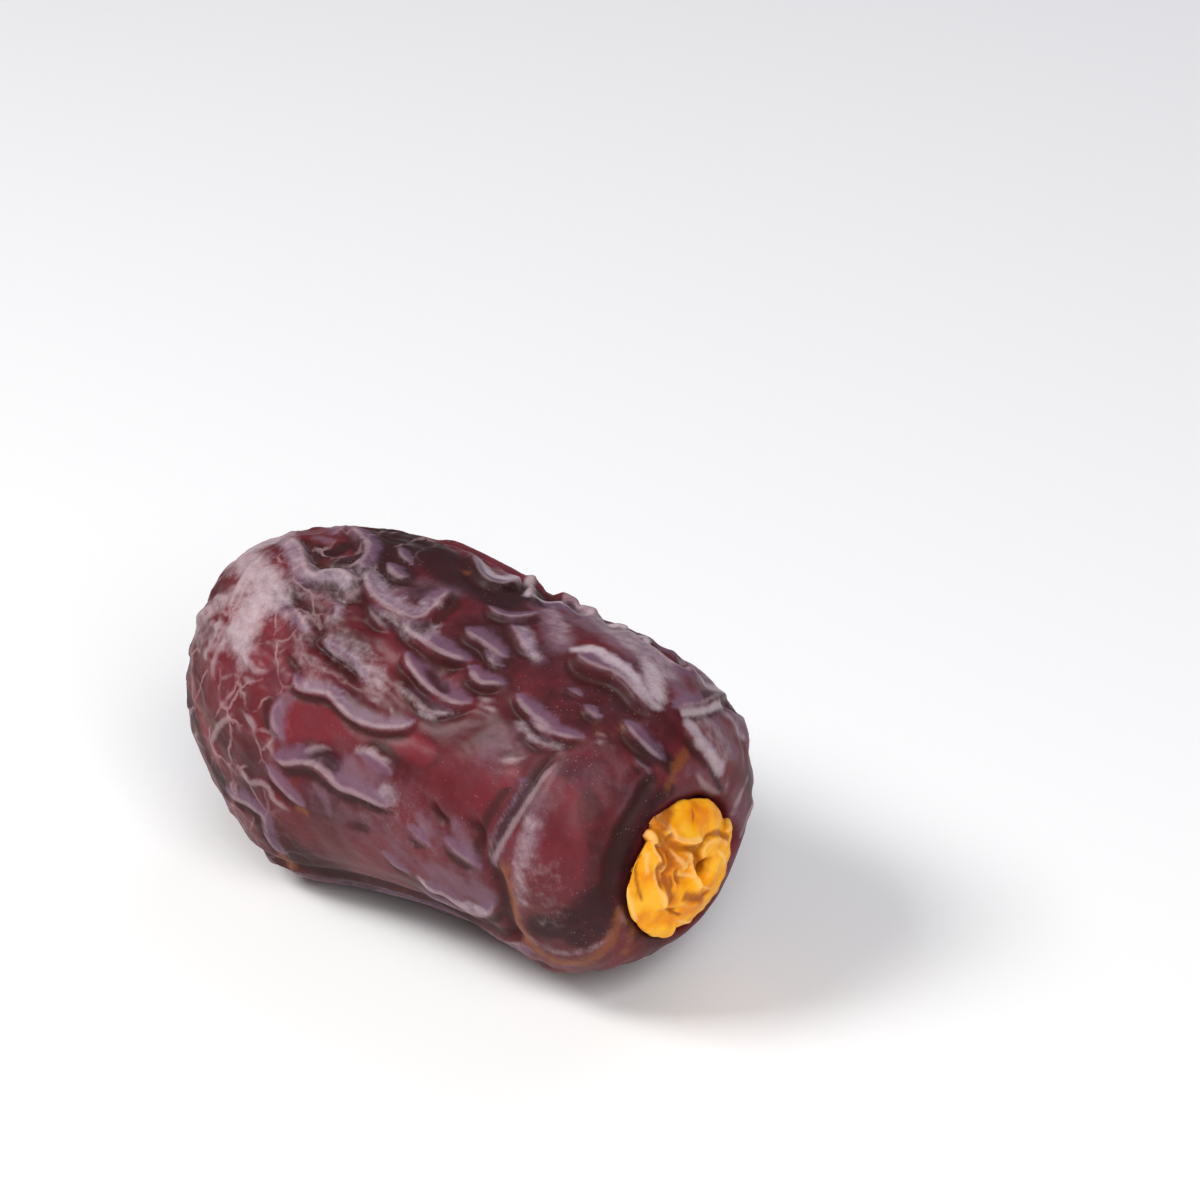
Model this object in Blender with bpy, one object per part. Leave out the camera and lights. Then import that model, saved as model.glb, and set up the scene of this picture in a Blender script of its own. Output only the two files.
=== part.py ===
# A medjool date lying on its side: the wrinkled fruit, and the woody cap at its stem end.
# Metres, +Z up. The origin is the middle of the small flat spot that the fruit rests on,
# and +X runs along the fruit towards the cap.
#
# A place on the skin is a station and an angle. The station is the share of the way over the
# skin from the tip (0) to the floor of the hollow under the cap (1). The angle runs round the
# fruit in degrees: 0 is the top, 90 the front (-Y), 180 the underside and 270 the back.

import math
import random

import bmesh
import bpy
import numpy as np
from mathutils import Vector, noise

MM = 0.001

# Fruit, without its wrinkles
FRUIT_WIDTH = 29.6 * MM
FRUIT_HEIGHT = 28.2 * MM
AXIS_HEIGHT = 14.0 * MM
# Half an outline of the fruit from the tip to the hollow, as (along, out) in mm
FRUIT_OUTLINE = [
    (-27.2, 0.0),
    (-26.1, 5.8),
    (-22.9, 10.7),
    (-17.2, 13.8),
    (-10.0, 15.0),
    (-2.0, 14.8),
    (7.0, 14.2),
    (15.0, 13.3),
    (20.5, 11.9),
    (23.6, 9.9),
    (24.4, 8.2),
    (23.6, 7.4),
    (22.2, 6.8),
    (21.6, 3.4),
    (21.5, 0.0),
]
FRUIT_CELLS = 28

# The hollow under the cap lies below the fruit's middle
HOLLOW_FROM, HOLLOW_FULL = 0.76, 0.90
HOLLOW_SHIFT = (-0.7 * MM, 0.0, -2.5 * MM)
# Its rim is set back round this angle, so that the cap's low back edge stands clear
LOW_RIM_ANGLE = 208
LOW_RIM_FULL, LOW_RIM_FADE = 30, 45
LOW_RIM_FROM, LOW_RIM_TO = 0.60, 0.76
LOW_RIM_BACK = 2.9 * MM
# Wrinkles fade out between these stations, so that the cap's seat is plain
SEAT_FROM, SEAT_FULL = 0.80, 0.88

# Broad swellings (+) and dents (-): station, angle, height in mm, reach in mm
SWELLINGS = [
    (0.20, 20, 1.1, 6.0),
    (0.34, 133, 1.9, 6.5),
    (0.535, 178, 1.0, 7.0),
    (0.42, 342, 0.7, 3.5),
    (0.58, 143, -0.6, 5.0),
    (0.53, 72, 0.8, 2.4),
    (0.75, 138, 1.8, 4.8),
    (0.775, 85, 0.9, 4.5),
    (0.77, 60, 0.5, 4.0),
    (0.68, 344, 0.8, 4.5),
    (0.69, 288, 1.3, 5.0),
    (0.77, 220, -0.8, 5.0),
    (0.43, 67, -0.5, 2.8),
    (0.30, 40, -0.5, 1.8),
    (0.27, 60, -0.4, 1.8),
    (0.30, 5, -0.6, 1.8),
    (0.465, 74, -0.8, 1.1),
    (0.555, 31, -0.5, 1.6),
    (0.70, 8, -0.5, 2.6),
]

# Folds of loose skin: height in mm, the side they fall away on (+1 is the right hand when
# walking along the crest, seen from outside), then stations and angles along the crest
FOLDS = [
    (0.7, -1, [(0.36, 51), (0.39, 54.5), (0.43, 54), (0.48, 56), (0.53, 54.5), (0.57, 47)]),
    (0.9, 1, [(0.37, 81), (0.40, 80.5), (0.45, 77), (0.48, 78.5), (0.51, 79), (0.57, 80)]),
    (0.6, -1, [(0.50, 41), (0.52, 41.5), (0.56, 44), (0.61, 41)]),
    (0.9, 1, [(0.45, 17), (0.476, 22), (0.517, 25), (0.56, 24), (0.59, 24)]),
    (0.8, 1, [(0.50, 31), (0.515, 35), (0.532, 37.5), (0.575, 39), (0.604, 37), (0.63, 35)]),
    (0.7, 1, [(0.57, 25), (0.586, 27), (0.624, 25.5), (0.66, 25)]),
    (0.8, 1, [(0.65, 21), (0.67, 25), (0.686, 27.5), (0.726, 30), (0.76, 28)]),
    (0.6, -1, [(0.65, 32), (0.661, 34), (0.685, 37), (0.707, 38), (0.75, 34)]),
    (0.8, 1, [(0.51, 8), (0.545, 12.5), (0.587, 13.5), (0.62, 14)]),
    (0.7, 1, [(0.57, 0), (0.604, 5), (0.63, 7.5), (0.66, 10)]),
    (0.7, 1, [(0.478, 17), (0.478, 12), (0.475, 6.5), (0.472, -4)]),
    (0.8, 1, [(0.37, 7), (0.40, 9.5), (0.43, 12.5), (0.455, 14.5), (0.48, 17)]),
    (1.0, 1, [(0.50, -28), (0.58, -20), (0.64, -11), (0.70, -8), (0.75, -6), (0.79, -4)]),
    (0.9, -1, [(0.79, -5), (0.787, -20), (0.78, -32), (0.765, -44)]),
    (0.6, -1, [(0.79, -4), (0.82, -9), (0.84, -13), (0.86, -18)]),
    (0.7, 1, [(0.22, 0), (0.264, 12.5), (0.314, 15.5), (0.345, 15), (0.37, 19)]),
    (0.6, 1, [(0.26, 23), (0.295, 24.5), (0.325, 24.5), (0.351, 24.5), (0.38, 23)]),
    (0.6, 1, [(0.29, 34), (0.33, 35), (0.35, 39), (0.36, 44)]),
    (0.6, 1, [(0.38, 34), (0.42, 38), (0.45, 40), (0.48, 43), (0.50, 48)]),
    (0.5, 1, [(0.30, 48), (0.325, 52), (0.35, 60), (0.37, 66)]),
    (0.5, 1, [(0.24, 66), (0.28, 64), (0.32, 65), (0.36, 70)]),
    (0.5, 1, [(0.21, 84), (0.25, 80), (0.30, 82), (0.35, 86)]),
    (0.6, 1, [(0.25, 100), (0.29, 103), (0.33, 104), (0.36, 109), (0.37, 120)]),
    (0.7, 1, [(0.33, 93), (0.38, 93), (0.43, 97), (0.47, 101)]),
    (0.6, 1, [(0.44, 88), (0.48, 90), (0.52, 94), (0.57, 96), (0.63, 97)]),
    (0.8, 1, [(0.56, 104), (0.60, 108), (0.64, 112), (0.68, 114), (0.71, 112)]),
    (0.5, 1, [(0.58, 62), (0.61, 68), (0.65, 72), (0.69, 72)]),
    (0.8, 1, [(0.71, 40), (0.712, 52), (0.71, 62), (0.70, 74), (0.69, 86)]),
    (0.6, 1, [(0.79, 6), (0.81, 12), (0.83, 14), (0.85, 12)]),
    (0.8, 1, [(0.41, -30), (0.45, -22), (0.475, -24), (0.50, -34)]),
]

# Creases: depth in mm, then stations and angles along the bottom
CREASES = [
    (1.1, [(0.745, 34), (0.727, 48), (0.725, 60), (0.717, 72), (0.704, 88), (0.714, 100),
           (0.714, 115), (0.712, 135), (0.73, 155)]),
    (0.7, [(0.265, 25), (0.278, 30), (0.33, 32), (0.36, 35), (0.375, 41)]),
    (0.6, [(0.32, 41), (0.345, 47.5), (0.363, 50), (0.391, 52.5)]),
    (0.5, [(0.388, 41.5), (0.43, 42), (0.47, 45)]),
    (0.7, [(0.755, 22), (0.79, 27), (0.82, 33), (0.845, 45)]),
]
ROLL_WIDTH = 1.5 * MM
CREASE_WIDTH = 1.1 * MM

# Long folds on the underside and back, where their places follow a rule
HIDDEN_FOLDS = 17
HIDDEN_FIRST, HIDDEN_LAST = 128, 322
HIDDEN_HEIGHT = 0.7
SEED = 5

# Fine wrinkling all over: size of its bumps and its height
WRINKLE_SIZE = 3.4 * MM
WRINKLE_HEIGHT = 0.75 * MM
WRINKLE_STRETCH = 0.45
SMOOTH_LOBE = (0.78, 80)
SMOOTH_REACH = 6.5 * MM

# Flat spot that the fruit rests on: relief fades out within this reach of the origin
SPOT_REACH = 6.0 * MM
# Half the spot's length and width, and how high the skin stays off the surface round it
SPOT_LENGTH = 8.0 * MM
SPOT_WIDTH = 4.5 * MM
SPOT_LIFT = 0.4 * MM
# Share of the way that each corner moves to the middle of its neighbours, to soften the folds
SOFTENING = 0.3

# Cap: half its outline from the strand's scar over the collar and round to its back, in mm
CAP_OUTLINE = [
    (25.6, 0.0),
    (25.8, 0.7),
    (26.9, 1.2),
    (27.2, 2.0),
    (26.8, 3.0),
    (25.9, 3.6),
    (25.4, 4.2),
    (25.0, 4.9),
    (24.3, 5.6),
    (23.3, 5.8),
    (22.6, 5.2),
    (22.1, 3.2),
    (22.0, 0.0),
]
CAP_CELLS = 15
PETALS = 3
PETAL_TURN = 45
PETAL_STEP = 0.55 * MM
LOBE_DEPTH = 0.05
CRUMPLE_SIZE = 1.5 * MM
CRUMPLE_HEIGHT = 0.55 * MM


def smooth_line(points, count, mirrored_ends=False):
    """count evenly spaced points on a smooth curve through the given ones."""
    knots = np.array(points, float)
    if mirrored_ends:
        flip = np.array([1.0, -1.0])
        before, after = knots[1] * flip, knots[-2] * flip
    else:
        before, after = 2 * knots[0] - knots[1], 2 * knots[-1] - knots[-2]
    knots = np.vstack([before, knots, after])
    t = np.linspace(0, 1, 20, endpoint=False)[:, None]
    spans = [
        b + 0.5 * t * (c - a + t * (2 * a - 5 * b + 4 * c - d + t * (3 * b - 3 * c + d - a)))
        for a, b, c, d in zip(knots, knots[1:], knots[2:], knots[3:])
    ]
    line = np.vstack([*spans, knots[-2]])
    run = np.concatenate([[0], np.cumsum(np.linalg.norm(np.diff(line, axis=0), axis=1))])
    even = np.linspace(0, run[-1], count)
    return np.column_stack([np.interp(even, run, line[:, k]) for k in range(line.shape[1])])


def eased(x):
    """0 before 0, 1 after 1, and smooth between."""
    x = np.clip(x, 0, 1)
    return x * x * (3 - 2 * x)


def bell(x):
    return np.exp(-x * x)


FRUIT_LINE = smooth_line(FRUIT_OUTLINE, 400, mirrored_ends=True) * MM
CAP_LINE = smooth_line(CAP_OUTLINE, 400, mirrored_ends=True) * MM
WIDEST = FRUIT_LINE[:, 1].max()


def turned(line, station, angle, width, height):
    """Points on a turned shape whose half outline is line, stretched to a width and height."""
    share = np.linspace(0, 1, len(line))
    along = np.interp(station, share, line[:, 0])
    out = np.interp(station, share, line[:, 1])
    turn = np.radians(angle)
    return np.column_stack([along, -out * np.sin(turn) * width, out * np.cos(turn) * height])


def skin_points(station, angle):
    """The unwrinkled skin at each station and angle, as an array of x, y, z."""
    station = np.asarray(station, float)
    points = turned(
        FRUIT_LINE, station, angle, FRUIT_WIDTH / 2 / WIDEST, FRUIT_HEIGHT / 2 / WIDEST
    )
    points[:, 2] += AXIS_HEIGHT
    into = eased((station - HOLLOW_FROM) / (HOLLOW_FULL - HOLLOW_FROM))
    turn = np.abs((np.asarray(angle, float) - LOW_RIM_ANGLE + 180) % 360 - 180)
    back = eased((LOW_RIM_FULL + LOW_RIM_FADE - turn) / LOW_RIM_FADE) * (1 - into)
    back *= eased((station - LOW_RIM_FROM) / (LOW_RIM_TO - LOW_RIM_FROM))
    points[:, 0] -= LOW_RIM_BACK * back
    return points + into[:, None] * np.array(HOLLOW_SHIFT)


def outwards(points):
    """Unit directions away from the fruit's core, a line along its middle."""
    core = points.copy()
    core[:, 0] = np.clip(core[:, 0], -12 * MM, 12 * MM)
    core[:, 1] = 0
    core[:, 2] = AXIS_HEIGHT
    away = points - core
    return away / np.linalg.norm(away, axis=1)[:, None]


def beside(points, route):
    """How far each point lies to the right of a route over the skin, and how much the route
    counts there: 1 along its middle, less near its ends, 0 away from it."""
    line = smooth_line(skin_points(*np.transpose(route)), 50)
    ahead = np.gradient(line, axis=0)
    ahead /= np.linalg.norm(ahead, axis=1)[:, None]
    right = np.cross(ahead, outwards(line))
    gap = np.linalg.norm(points[:, None] - line[None], axis=2)
    near = gap.argmin(axis=1)
    offset = points - line[near]
    aside = np.sum(offset * right[near], axis=1)
    past = np.sum(offset * ahead[near], axis=1)
    share = near / (len(line) - 1)
    taper = eased(share / 0.2) * eased((1 - share) / 0.2)
    return aside, taper * bell(past / ROLL_WIDTH) * (gap.min(axis=1) < 8 * MM)


def bumps(points, size):
    """Smooth noise from about -1 to 1, with bumps of the given size."""
    return np.array([noise.noise(Vector(p)) for p in points / size])


def hidden_folds():
    """Folds that run the length of the fruit where the front view doesn't reach."""
    draw = random.Random(SEED)
    step = (HIDDEN_LAST - HIDDEN_FIRST) / (HIDDEN_FOLDS - 1)
    folds = []
    for i in range(HIDDEN_FOLDS):
        middle = draw.uniform(0.38, 0.62)
        reach = draw.uniform(0.14, 0.24)
        angle = HIDDEN_FIRST + i * step
        route = [
            (middle + reach * share, angle + draw.uniform(-7, 7))
            for share in (-1, -0.5, 0, 0.5, 1)
        ]
        folds.append((HIDDEN_HEIGHT * draw.uniform(0.7, 1.2), draw.choice((-1, 1)), route))
    return folds


def fruit_relief(points, station):
    """How far the wrinkled skin stands out from the plain one."""
    relief = np.zeros(len(points))
    for fold_height, side, route in FOLDS + hidden_folds():
        aside, share = beside(points, route)
        lee = aside * side
        roll = bell((lee + 0.4 * ROLL_WIDTH) / ROLL_WIDTH)
        groove = bell((lee - 0.9 * ROLL_WIDTH) / (0.6 * ROLL_WIDTH))
        relief += fold_height * MM * share * (roll - 0.8 * groove)
    for depth, route in CREASES:
        aside, share = beside(points, route)
        relief -= depth * MM * share * bell(aside / CREASE_WIDTH)

    squashed = points * np.array([WRINKLE_STRETCH, 1, 1])
    sway = np.column_stack([bumps(squashed + k * 9 * MM, 2 * WRINKLE_SIZE) for k in (1, 2, 3)])
    folded = np.abs(bumps(squashed + sway * WRINKLE_SIZE * 0.7, WRINKLE_SIZE))
    lobe = skin_points([SMOOTH_LOBE[0]], SMOOTH_LOBE[1])
    rough = eased(np.linalg.norm(points - lobe, axis=1) / SMOOTH_REACH - 0.3)
    relief += WRINKLE_HEIGHT * rough * (folded * 2 - 0.5)

    spot = eased(np.hypot(points[:, 0], points[:, 1]) / SPOT_REACH - 0.6)
    under = points[:, 2] < AXIS_HEIGHT
    relief *= np.where(under, spot, 1)
    return relief * (1 - eased((station - SEAT_FROM) / (SEAT_FULL - SEAT_FROM)))


def swell(points, station):
    """How far the broad swellings and dents move the skin out."""
    relief = np.zeros(len(points))
    for place, angle, height, reach in SWELLINGS:
        centre = skin_points([place], angle)
        gap = np.linalg.norm(points - centre, axis=1)
        relief += height * MM * bell(gap / (reach * MM))
    return relief * (1 - eased((station - SEAT_FROM) / (SEAT_FULL - SEAT_FROM)))


def quad_ball(name, cells):
    """A ball of even squares, with the station and angle of each of its vertices."""
    bm = bmesh.new()
    bmesh.ops.create_cube(bm, size=2)
    bmesh.ops.subdivide_edges(bm, edges=bm.edges, cuts=cells - 1, use_grid_fill=True)
    for vert in bm.verts:
        vert.co = [math.tan(c * math.pi / 4) for c in vert.co]
        vert.co.normalize()
    mesh = bpy.data.meshes.new(name)
    bm.to_mesh(mesh)
    bm.free()
    ball = np.empty(len(mesh.vertices) * 3)
    mesh.vertices.foreach_get("co", ball)
    ball = ball.reshape(-1, 3)
    station = np.arccos(np.clip(-ball[:, 0], -1, 1)) / math.pi
    angle = np.degrees(np.arctan2(-ball[:, 1], ball[:, 2])) % 360
    return mesh, station, angle


def set_points(mesh, points):
    mesh.vertices.foreach_set("co", points.ravel())
    mesh.update()


def push_out(mesh, points, relief):
    """Moves the points out along the mesh's own normals, and gives their new places."""
    set_points(mesh, points)
    normals = np.empty(points.size)
    mesh.vertex_normals.foreach_get("vector", normals)
    return points + relief[:, None] * normals.reshape(-1, 3)


def settle(mesh):
    """Softens the folds, and flattens the spot that carries the fruit's weight."""
    bm = bmesh.new()
    bm.from_mesh(mesh)
    bmesh.ops.smooth_vert(
        bm, verts=bm.verts, factor=SOFTENING, use_axis_x=True, use_axis_y=True, use_axis_z=True
    )
    for vert in bm.verts:
        past_spot = math.hypot(vert.co.x / SPOT_LENGTH, vert.co.y / SPOT_WIDTH) - 1
        vert.co.z = max(vert.co.z, SPOT_LIFT * eased(past_spot / 0.5))
    bm.to_mesh(mesh)
    bm.free()


def finish_piece(mesh, colour, roughness):
    mesh.shade_smooth()
    material = bpy.data.materials.new(mesh.name)
    material.use_nodes = True
    shader = material.node_tree.nodes["Principled BSDF"]
    shader.inputs["Base Color"].default_value = (*colour, 1)
    shader.inputs["Roughness"].default_value = roughness
    shader.inputs["Metallic"].default_value = 0
    mesh.materials.append(material)
    return bpy.data.objects.new(mesh.name, mesh)


def make_fruit():
    mesh, station, angle = quad_ball("fruit", FRUIT_CELLS)
    plain = skin_points(station, angle)
    relief = fruit_relief(plain, station)
    broad = push_out(mesh, plain, swell(plain, station))
    set_points(mesh, push_out(mesh, broad, relief))
    settle(mesh)
    return finish_piece(mesh, (0.12, 0.03, 0.03), 0.4)


def make_cap():
    mesh, station, angle = quad_ball("cap", CAP_CELLS)
    # The ball's stations run from -X, and the cap's outline from its front
    station = 1 - station
    lobes = 1 + LOBE_DEPTH * np.cos(np.radians(angle - PETAL_TURN) * PETALS)
    spread = 1 + (lobes - 1) * eased(station / 0.5)
    points = turned(CAP_LINE, station, angle, spread, spread)
    points += np.array(HOLLOW_SHIFT) + np.array([0, 0, AXIS_HEIGHT])

    # Each petal laps over the next, with its free edge raised
    turn = (angle - PETAL_TURN) / 360 * PETALS % 1
    front = 1 - eased((station - 0.60) / 0.12)
    petal = front * eased((station - 0.32) / 0.08)
    collar = front * (1 - eased((station - 0.40) / 0.06)) * eased((station - 0.08) / 0.06)
    relief = PETAL_STEP * petal * (turn - 0.5)
    relief += CRUMPLE_HEIGHT * collar * bumps(points, CRUMPLE_SIZE)
    set_points(mesh, push_out(mesh, points, relief))
    return finish_piece(mesh, (0.72, 0.33, 0.04), 0.5)


def main():
    for old in list(bpy.data.objects):
        bpy.data.objects.remove(old)
    date = bpy.data.collections.new("medjool_date")
    bpy.context.scene.collection.children.link(date)
    for piece in (make_fruit(), make_cap()):
        date.objects.link(piece)


main()
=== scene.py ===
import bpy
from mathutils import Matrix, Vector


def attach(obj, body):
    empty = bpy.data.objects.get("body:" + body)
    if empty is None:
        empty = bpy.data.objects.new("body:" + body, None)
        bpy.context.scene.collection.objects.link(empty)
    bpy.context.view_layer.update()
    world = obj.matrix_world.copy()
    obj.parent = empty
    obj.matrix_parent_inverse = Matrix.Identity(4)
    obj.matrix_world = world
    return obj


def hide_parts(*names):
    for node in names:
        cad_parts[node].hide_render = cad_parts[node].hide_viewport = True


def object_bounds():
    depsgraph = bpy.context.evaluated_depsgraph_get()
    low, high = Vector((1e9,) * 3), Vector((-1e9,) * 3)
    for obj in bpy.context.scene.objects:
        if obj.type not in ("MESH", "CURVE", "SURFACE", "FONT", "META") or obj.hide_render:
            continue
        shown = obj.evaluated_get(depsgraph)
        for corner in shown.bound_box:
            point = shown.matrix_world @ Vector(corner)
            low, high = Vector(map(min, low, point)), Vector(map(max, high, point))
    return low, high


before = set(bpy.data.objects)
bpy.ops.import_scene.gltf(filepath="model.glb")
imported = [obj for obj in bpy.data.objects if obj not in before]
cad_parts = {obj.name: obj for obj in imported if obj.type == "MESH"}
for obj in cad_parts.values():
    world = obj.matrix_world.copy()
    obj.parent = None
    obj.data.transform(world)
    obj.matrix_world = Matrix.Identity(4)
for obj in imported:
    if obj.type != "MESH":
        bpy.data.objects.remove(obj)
cadBox = [list(corner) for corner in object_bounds()]

import math
import random

import bmesh
import bpy
import numpy as np
from mathutils import Vector, noise
from mathutils.bvhtree import BVHTree

# A place on a piece is a station and an angle. On the skin the station is the share of the way
# from the tip (0) to the floor of the hollow under the cap (1). The angle runs round the fruit
# in degrees: 0 is the top, 90 the front (-Y), 180 the underside and 270 the back.

mm = 0.001
boxMargin = 0.01 * mm             # how far the pieces stay inside the CAD box
# how many points a line of each kind takes
lineCounts = {"span": 20, "outline": 400, "fold": 100, "hidden": 60, "band": 40}
print("frame loaded with", sorted(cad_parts))


def smoothLine(points, count, mirrored=False):
    # evenly spaced points on a smooth curve through the given ones; the ends of a mirrored one
    # meet its mirror image squarely
    knots = np.array(points, float)
    if mirrored:
        flip = np.array([1.0, -1.0])
        before, after = knots[1] * flip, knots[-2] * flip
    else:
        before, after = 2 * knots[0] - knots[1], 2 * knots[-1] - knots[-2]
    knots = np.vstack([before, knots, after])
    t = np.linspace(0, 1, lineCounts["span"], endpoint=False)[:, None]
    spans = [
        b + 0.5 * t * (c - a + t * (2 * a - 5 * b + 4 * c - d + t * (3 * b - 3 * c + d - a)))
        for a, b, c, d in zip(knots, knots[1:], knots[2:], knots[3:])
    ]
    line = np.vstack([*spans, knots[-2]])
    run = np.concatenate([[0], np.cumsum(np.linalg.norm(np.diff(line, axis=0), axis=1))])
    even = np.linspace(0, run[-1], count)
    return np.column_stack([np.interp(even, run, line[:, k]) for k in range(line.shape[1])])


def eased(x):
    # 0 before 0, 1 after 1, smooth between
    x = np.clip(x, 0, 1)
    return x * x * (3 - 2 * x)


def bell(x):
    # 1 at 0, falling off on both sides
    return np.exp(-x * x)


def angleBetween(a, b):
    # degrees from one angle to another, either way round
    return np.abs((a - b + 180) % 360 - 180)


def bumps(points, size, offset=0.0):
    # smooth noise, about -1 to 1, with bumps of that size
    return np.array([noise.noise(Vector(p)) for p in points / size + offset])


def turned(line, station, angle, width, height):
    # points on a turned shape whose half outline is line
    share = np.linspace(0, 1, len(line))
    along = np.interp(station, share, line[:, 0])
    out = np.interp(station, share, line[:, 1])
    turn = np.radians(angle)
    return np.column_stack([along, -out * np.sin(turn) * width, out * np.cos(turn) * height])


def ballMesh(name, cells):
    # a cube of even squares, blown up to a ball
    bm = bmesh.new()
    bmesh.ops.create_cube(bm, size=2)
    bmesh.ops.subdivide_edges(bm, edges=bm.edges, cuts=cells - 1, use_grid_fill=True)
    for vert in bm.verts:
        vert.co = [math.tan(c * math.pi / 4) for c in vert.co]
        vert.co.normalize()
    mesh = bpy.data.meshes.new(name)
    bm.to_mesh(mesh)
    bm.free()
    return mesh


def readPoints(mesh):
    points = np.empty(len(mesh.vertices) * 3)
    mesh.vertices.foreach_get("co", points)
    return points.reshape(-1, 3)


def setPoints(mesh, points):
    mesh.vertices.foreach_set("co", points.ravel())
    mesh.update()


def surfaceOf(mesh, points):
    # a mesh's faces, over the given points, as a surface that rays can be cast on
    faces = [list(face.vertices) for face in mesh.polygons]
    return BVHTree.FromPolygons(points.tolist(), faces)


def addObject(name, data):
    added = bpy.data.objects.new(name, data)
    bpy.context.collection.objects.link(added)
    return added


def normalsOf(mesh, points):
    setPoints(mesh, points)
    normals = np.empty(points.size)
    mesh.vertex_normals.foreach_get("vector", normals)
    return normals.reshape(-1, 3)


def ballPlaces(mesh):
    ball = readPoints(mesh)
    ball /= np.linalg.norm(ball, axis=1)[:, None]
    station = np.arccos(np.clip(-ball[:, 0], -1, 1)) / math.pi
    return station, np.degrees(np.arctan2(-ball[:, 1], ball[:, 2])) % 360


def addAttribute(mesh, name, values):
    layer = mesh.attributes.new(name, "FLOAT", "POINT")
    layer.data.foreach_set("value", np.asarray(values, np.float32))


# Camera: it looks at the date from in front of its cap, a little from above
view = {
    "azimuth": 41,
    "elevation": 30,
    "lens": 135,
    "sensor": 36,
    "distance": 0.38,
    "aim": Vector((0, 0, 14 * mm)),
    "aimPixel": (468, 740),       # where the aim lands in the picture
    "frame": 1200,                # the picture's side in pixels
    "nearest": 10 * mm,
    "reach": 5 * mm,              # how far before the aim a ray that misses looks for a surface
}
pixelSlope = view["sensor"] / view["lens"] / view["frame"]


def makeCamera():
    turn, rise = math.radians(view["azimuth"]), math.radians(view["elevation"])
    back = Vector((math.sin(turn) * math.cos(rise), -math.cos(turn) * math.cos(rise),
                   math.sin(rise)))
    facing = (-back).to_track_quat("-Z", "Y")
    right, up = facing @ Vector((1, 0, 0)), facing @ Vector((0, 1, 0))
    aside, below = [
        (pixel - view["frame"] / 2) * pixelSlope * view["distance"] for pixel in view["aimPixel"]
    ]
    lens = bpy.data.cameras.new("camera")
    lens.lens = view["lens"]
    lens.sensor_width = view["sensor"]
    lens.clip_start = view["nearest"]
    camera = addObject("camera", lens)
    camera.rotation_mode = "QUATERNION"
    camera.rotation_quaternion = facing
    camera.location = view["aim"] + back * view["distance"] - right * aside + up * below
    bpy.context.scene.camera = camera
    return camera


camera = makeCamera()


def seenPoints(surface, route, count=1):
    # a route over the picture, carried along the camera's rays onto a surface; a ray that
    # passes it by takes the surface's nearest place
    spots = []
    for x, y in smoothLine(route, count) if len(route) > 1 else route:
        aside, up = (x - view["frame"] / 2) * pixelSlope, (view["frame"] / 2 - y) * pixelSlope
        ray = camera.rotation_quaternion @ Vector((aside, up, -1)).normalized()
        place = surface.ray_cast(camera.location, ray)[0]
        if not place:
            abeam = camera.location + ray * (view["distance"] - view["reach"])
            place = surface.find_nearest(abeam)[0]
        spots.append(place)
    return smoothLine(spots, count) if len(spots) > 1 else np.array(spots)


def nearSeen(points, surface, pixel, reach):
    # how near the points lie to one place in the picture
    gap = np.linalg.norm(points - seenPoints(surface, [pixel]), axis=1)
    return bell(gap / (reach * mm))


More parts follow.
